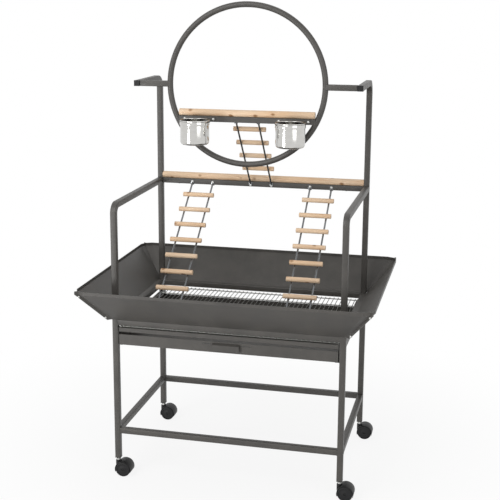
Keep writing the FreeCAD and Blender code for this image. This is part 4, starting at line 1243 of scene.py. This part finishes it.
class STAND_OT_stage(Operator):
    """Set up the pale floor, the soft lights and the camera"""

    bl_idname = "stand.stage"
    bl_label = "Stage"

    def execute(self, context):
        self.world()
        self.floor()
        self.lamps()
        self.camera(context)
        context.scene.view_settings.view_transform = "Standard"
        return {"FINISHED"}

    def world(self):
        """Soft light all round, before a white backdrop that metal mirrors too."""
        world = bpy.data.worlds.new("studio")
        bpy.context.scene.world = world
        world.use_nodes = True
        tree = world.node_tree
        tree.nodes.clear()
        dim = add_node(tree, "ShaderNodeBackground", Color=WHITE, Strength=WORLD_LEVEL)
        white = add_node(tree, "ShaderNodeBackground", Color=WHITE, Strength=1.0)
        mix = add_node(
            tree,
            "ShaderNodeMixShader",
            i0=self.backdrop_rays(tree),
            i1=dim.outputs[0],
            i2=white.outputs[0],
        )
        add_node(tree, "ShaderNodeOutputWorld", Surface=mix.outputs[0])

    def backdrop_rays(self, tree):
        """1 for a ray from the camera, off metal or through glass, and 0 for the rest."""
        path = add_node(tree, "ShaderNodeLightPath")
        shown = path.outputs["Is Camera Ray"]
        for kind in ("Is Glossy Ray", "Is Transmission Ray"):
            shown = add_node(
                tree,
                "ShaderNodeMath",
                {"operation": "MAXIMUM"},
                i0=shown,
                i1=path.outputs[kind],
            ).outputs[0]
        return shown

    def floor(self):
        """A matt pale floor that fades into the white backdrop away from the stand."""
        clear_selection()
        bpy.ops.mesh.primitive_plane_add(size=FLOOR_WIDTH)
        floor = bpy.context.active_object
        floor.name = "floor"
        material = bpy.data.materials.new("pale_floor")
        material.use_nodes = True
        tree = material.node_tree
        tree.nodes.clear()
        place = add_node(tree, "ShaderNodeTexCoord").outputs["Object"]
        reach = add_node(
            tree, "ShaderNodeVectorMath", {"operation": "LENGTH"}, Vector=place
        ).outputs["Value"]
        fade = add_node(
            tree,
            "ShaderNodeMapRange",
            {"interpolation_type": "SMOOTHSTEP"},
            Value=reach,
            From_Min=FLOOR_FADE[0],
            From_Max=FLOOR_FADE[1],
            To_Min=FLOOR_WHITE[0],
            To_Max=FLOOR_WHITE[1],
        ).outputs["Result"]
        matt = add_node(
            tree, "ShaderNodeBsdfDiffuse", Color=(*colours().floor, 1.0), Roughness=0.0
        )
        white = add_node(tree, "ShaderNodeEmission", Color=WHITE, Strength=1.0)
        shown = add_node(
            tree,
            "ShaderNodeMath",
            {"operation": "MULTIPLY"},
            i0=fade,
            i1=self.backdrop_rays(tree),
        ).outputs[0]
        mix = add_node(
            tree, "ShaderNodeMixShader", i0=shown, i1=matt.outputs[0], i2=white.outputs[0]
        )
        add_node(tree, "ShaderNodeOutputMaterial", Surface=mix.outputs[0])
        floor.data.materials.append(material)

    def lamps(self):
        """Broad square lamps: key and low at the front left, fill at the right, and top."""
        for name, place, power, width in LAMPS:
            data = bpy.data.lights.new(name, "AREA")
            data.energy = power
            data.shape = "SQUARE"
            data.size = width
            lamp = bpy.data.objects.new(name, data)
            lamp.location = place
            aim = LAMP_AIM - Vector(place)
            lamp.rotation_euler = aim.to_track_quat("-Z", "Y").to_euler()
            bpy.context.scene.collection.objects.link(lamp)

    def camera(self, context):
        """The camera at the photograph's viewpoint."""
        data = bpy.data.cameras.new("camera")
        data.sensor_width = CAMERA_SENSOR
        data.lens = CAMERA_LENS
        data.shift_x, data.shift_y = CAMERA_SHIFT
        data.clip_end = CAMERA_REACH
        camera = bpy.data.objects.new("camera", data)
        camera.matrix_world = (
            moved(*CAMERA_PLACE)
            @ turn(CAMERA_YAW, "Z")
            @ turn(90 - CAMERA_PITCH, "X")
            @ turn(CAMERA_ROLL, "Z")
        )
        context.scene.collection.objects.link(camera)
        context.scene.camera = camera


# ------------------------------------------------------------------------------ panel
OPERATORS = (
    STAND_OT_frame,
    STAND_OT_posts,
    STAND_OT_guards,
    STAND_OT_hoop,
    STAND_OT_drawer,
    STAND_OT_grille,
    STAND_OT_rods,
    STAND_OT_rungs,
    STAND_OT_perches,
    STAND_OT_holders,
    STAND_OT_cups,
    STAND_OT_casters,
    STAND_OT_screws,
    STAND_OT_stage,
)


class STAND_PT_panel(Panel):
    """Buttons that build the stand piece by piece, and its settings"""

    bl_idname = "STAND_PT_panel"
    bl_label = "Parrot play stand"
    bl_space_type = "VIEW_3D"
    bl_region_type = "UI"
    bl_category = "Stand"

    def draw(self, context):
        column = self.layout.column(align=True)
        for operator in OPERATORS:
            column.operator(operator.bl_idname)
        for group in (context.scene.stand_colours, context.scene.stand_sizes):
            box = self.layout.box()
            for name in group.__annotations__:
                box.prop(group, name)


CLASSES = (StandColours, StandSizes, *OPERATORS, STAND_PT_panel)


def register():
    for item in CLASSES:
        bpy.utils.register_class(item)
    bpy.types.Scene.stand_colours = PointerProperty(type=StandColours)
    bpy.types.Scene.stand_sizes = PointerProperty(type=StandSizes)


def unregister():
    del bpy.types.Scene.stand_sizes
    del bpy.types.Scene.stand_colours
    for item in reversed(CLASSES):
        bpy.utils.unregister_class(item)


def main():
    register()
    for operator in OPERATORS:
        group, name = operator.bl_idname.split(".")
        getattr(getattr(bpy.ops, group), name)()
    clear_selection()


if __name__ == "__main__":
    main()
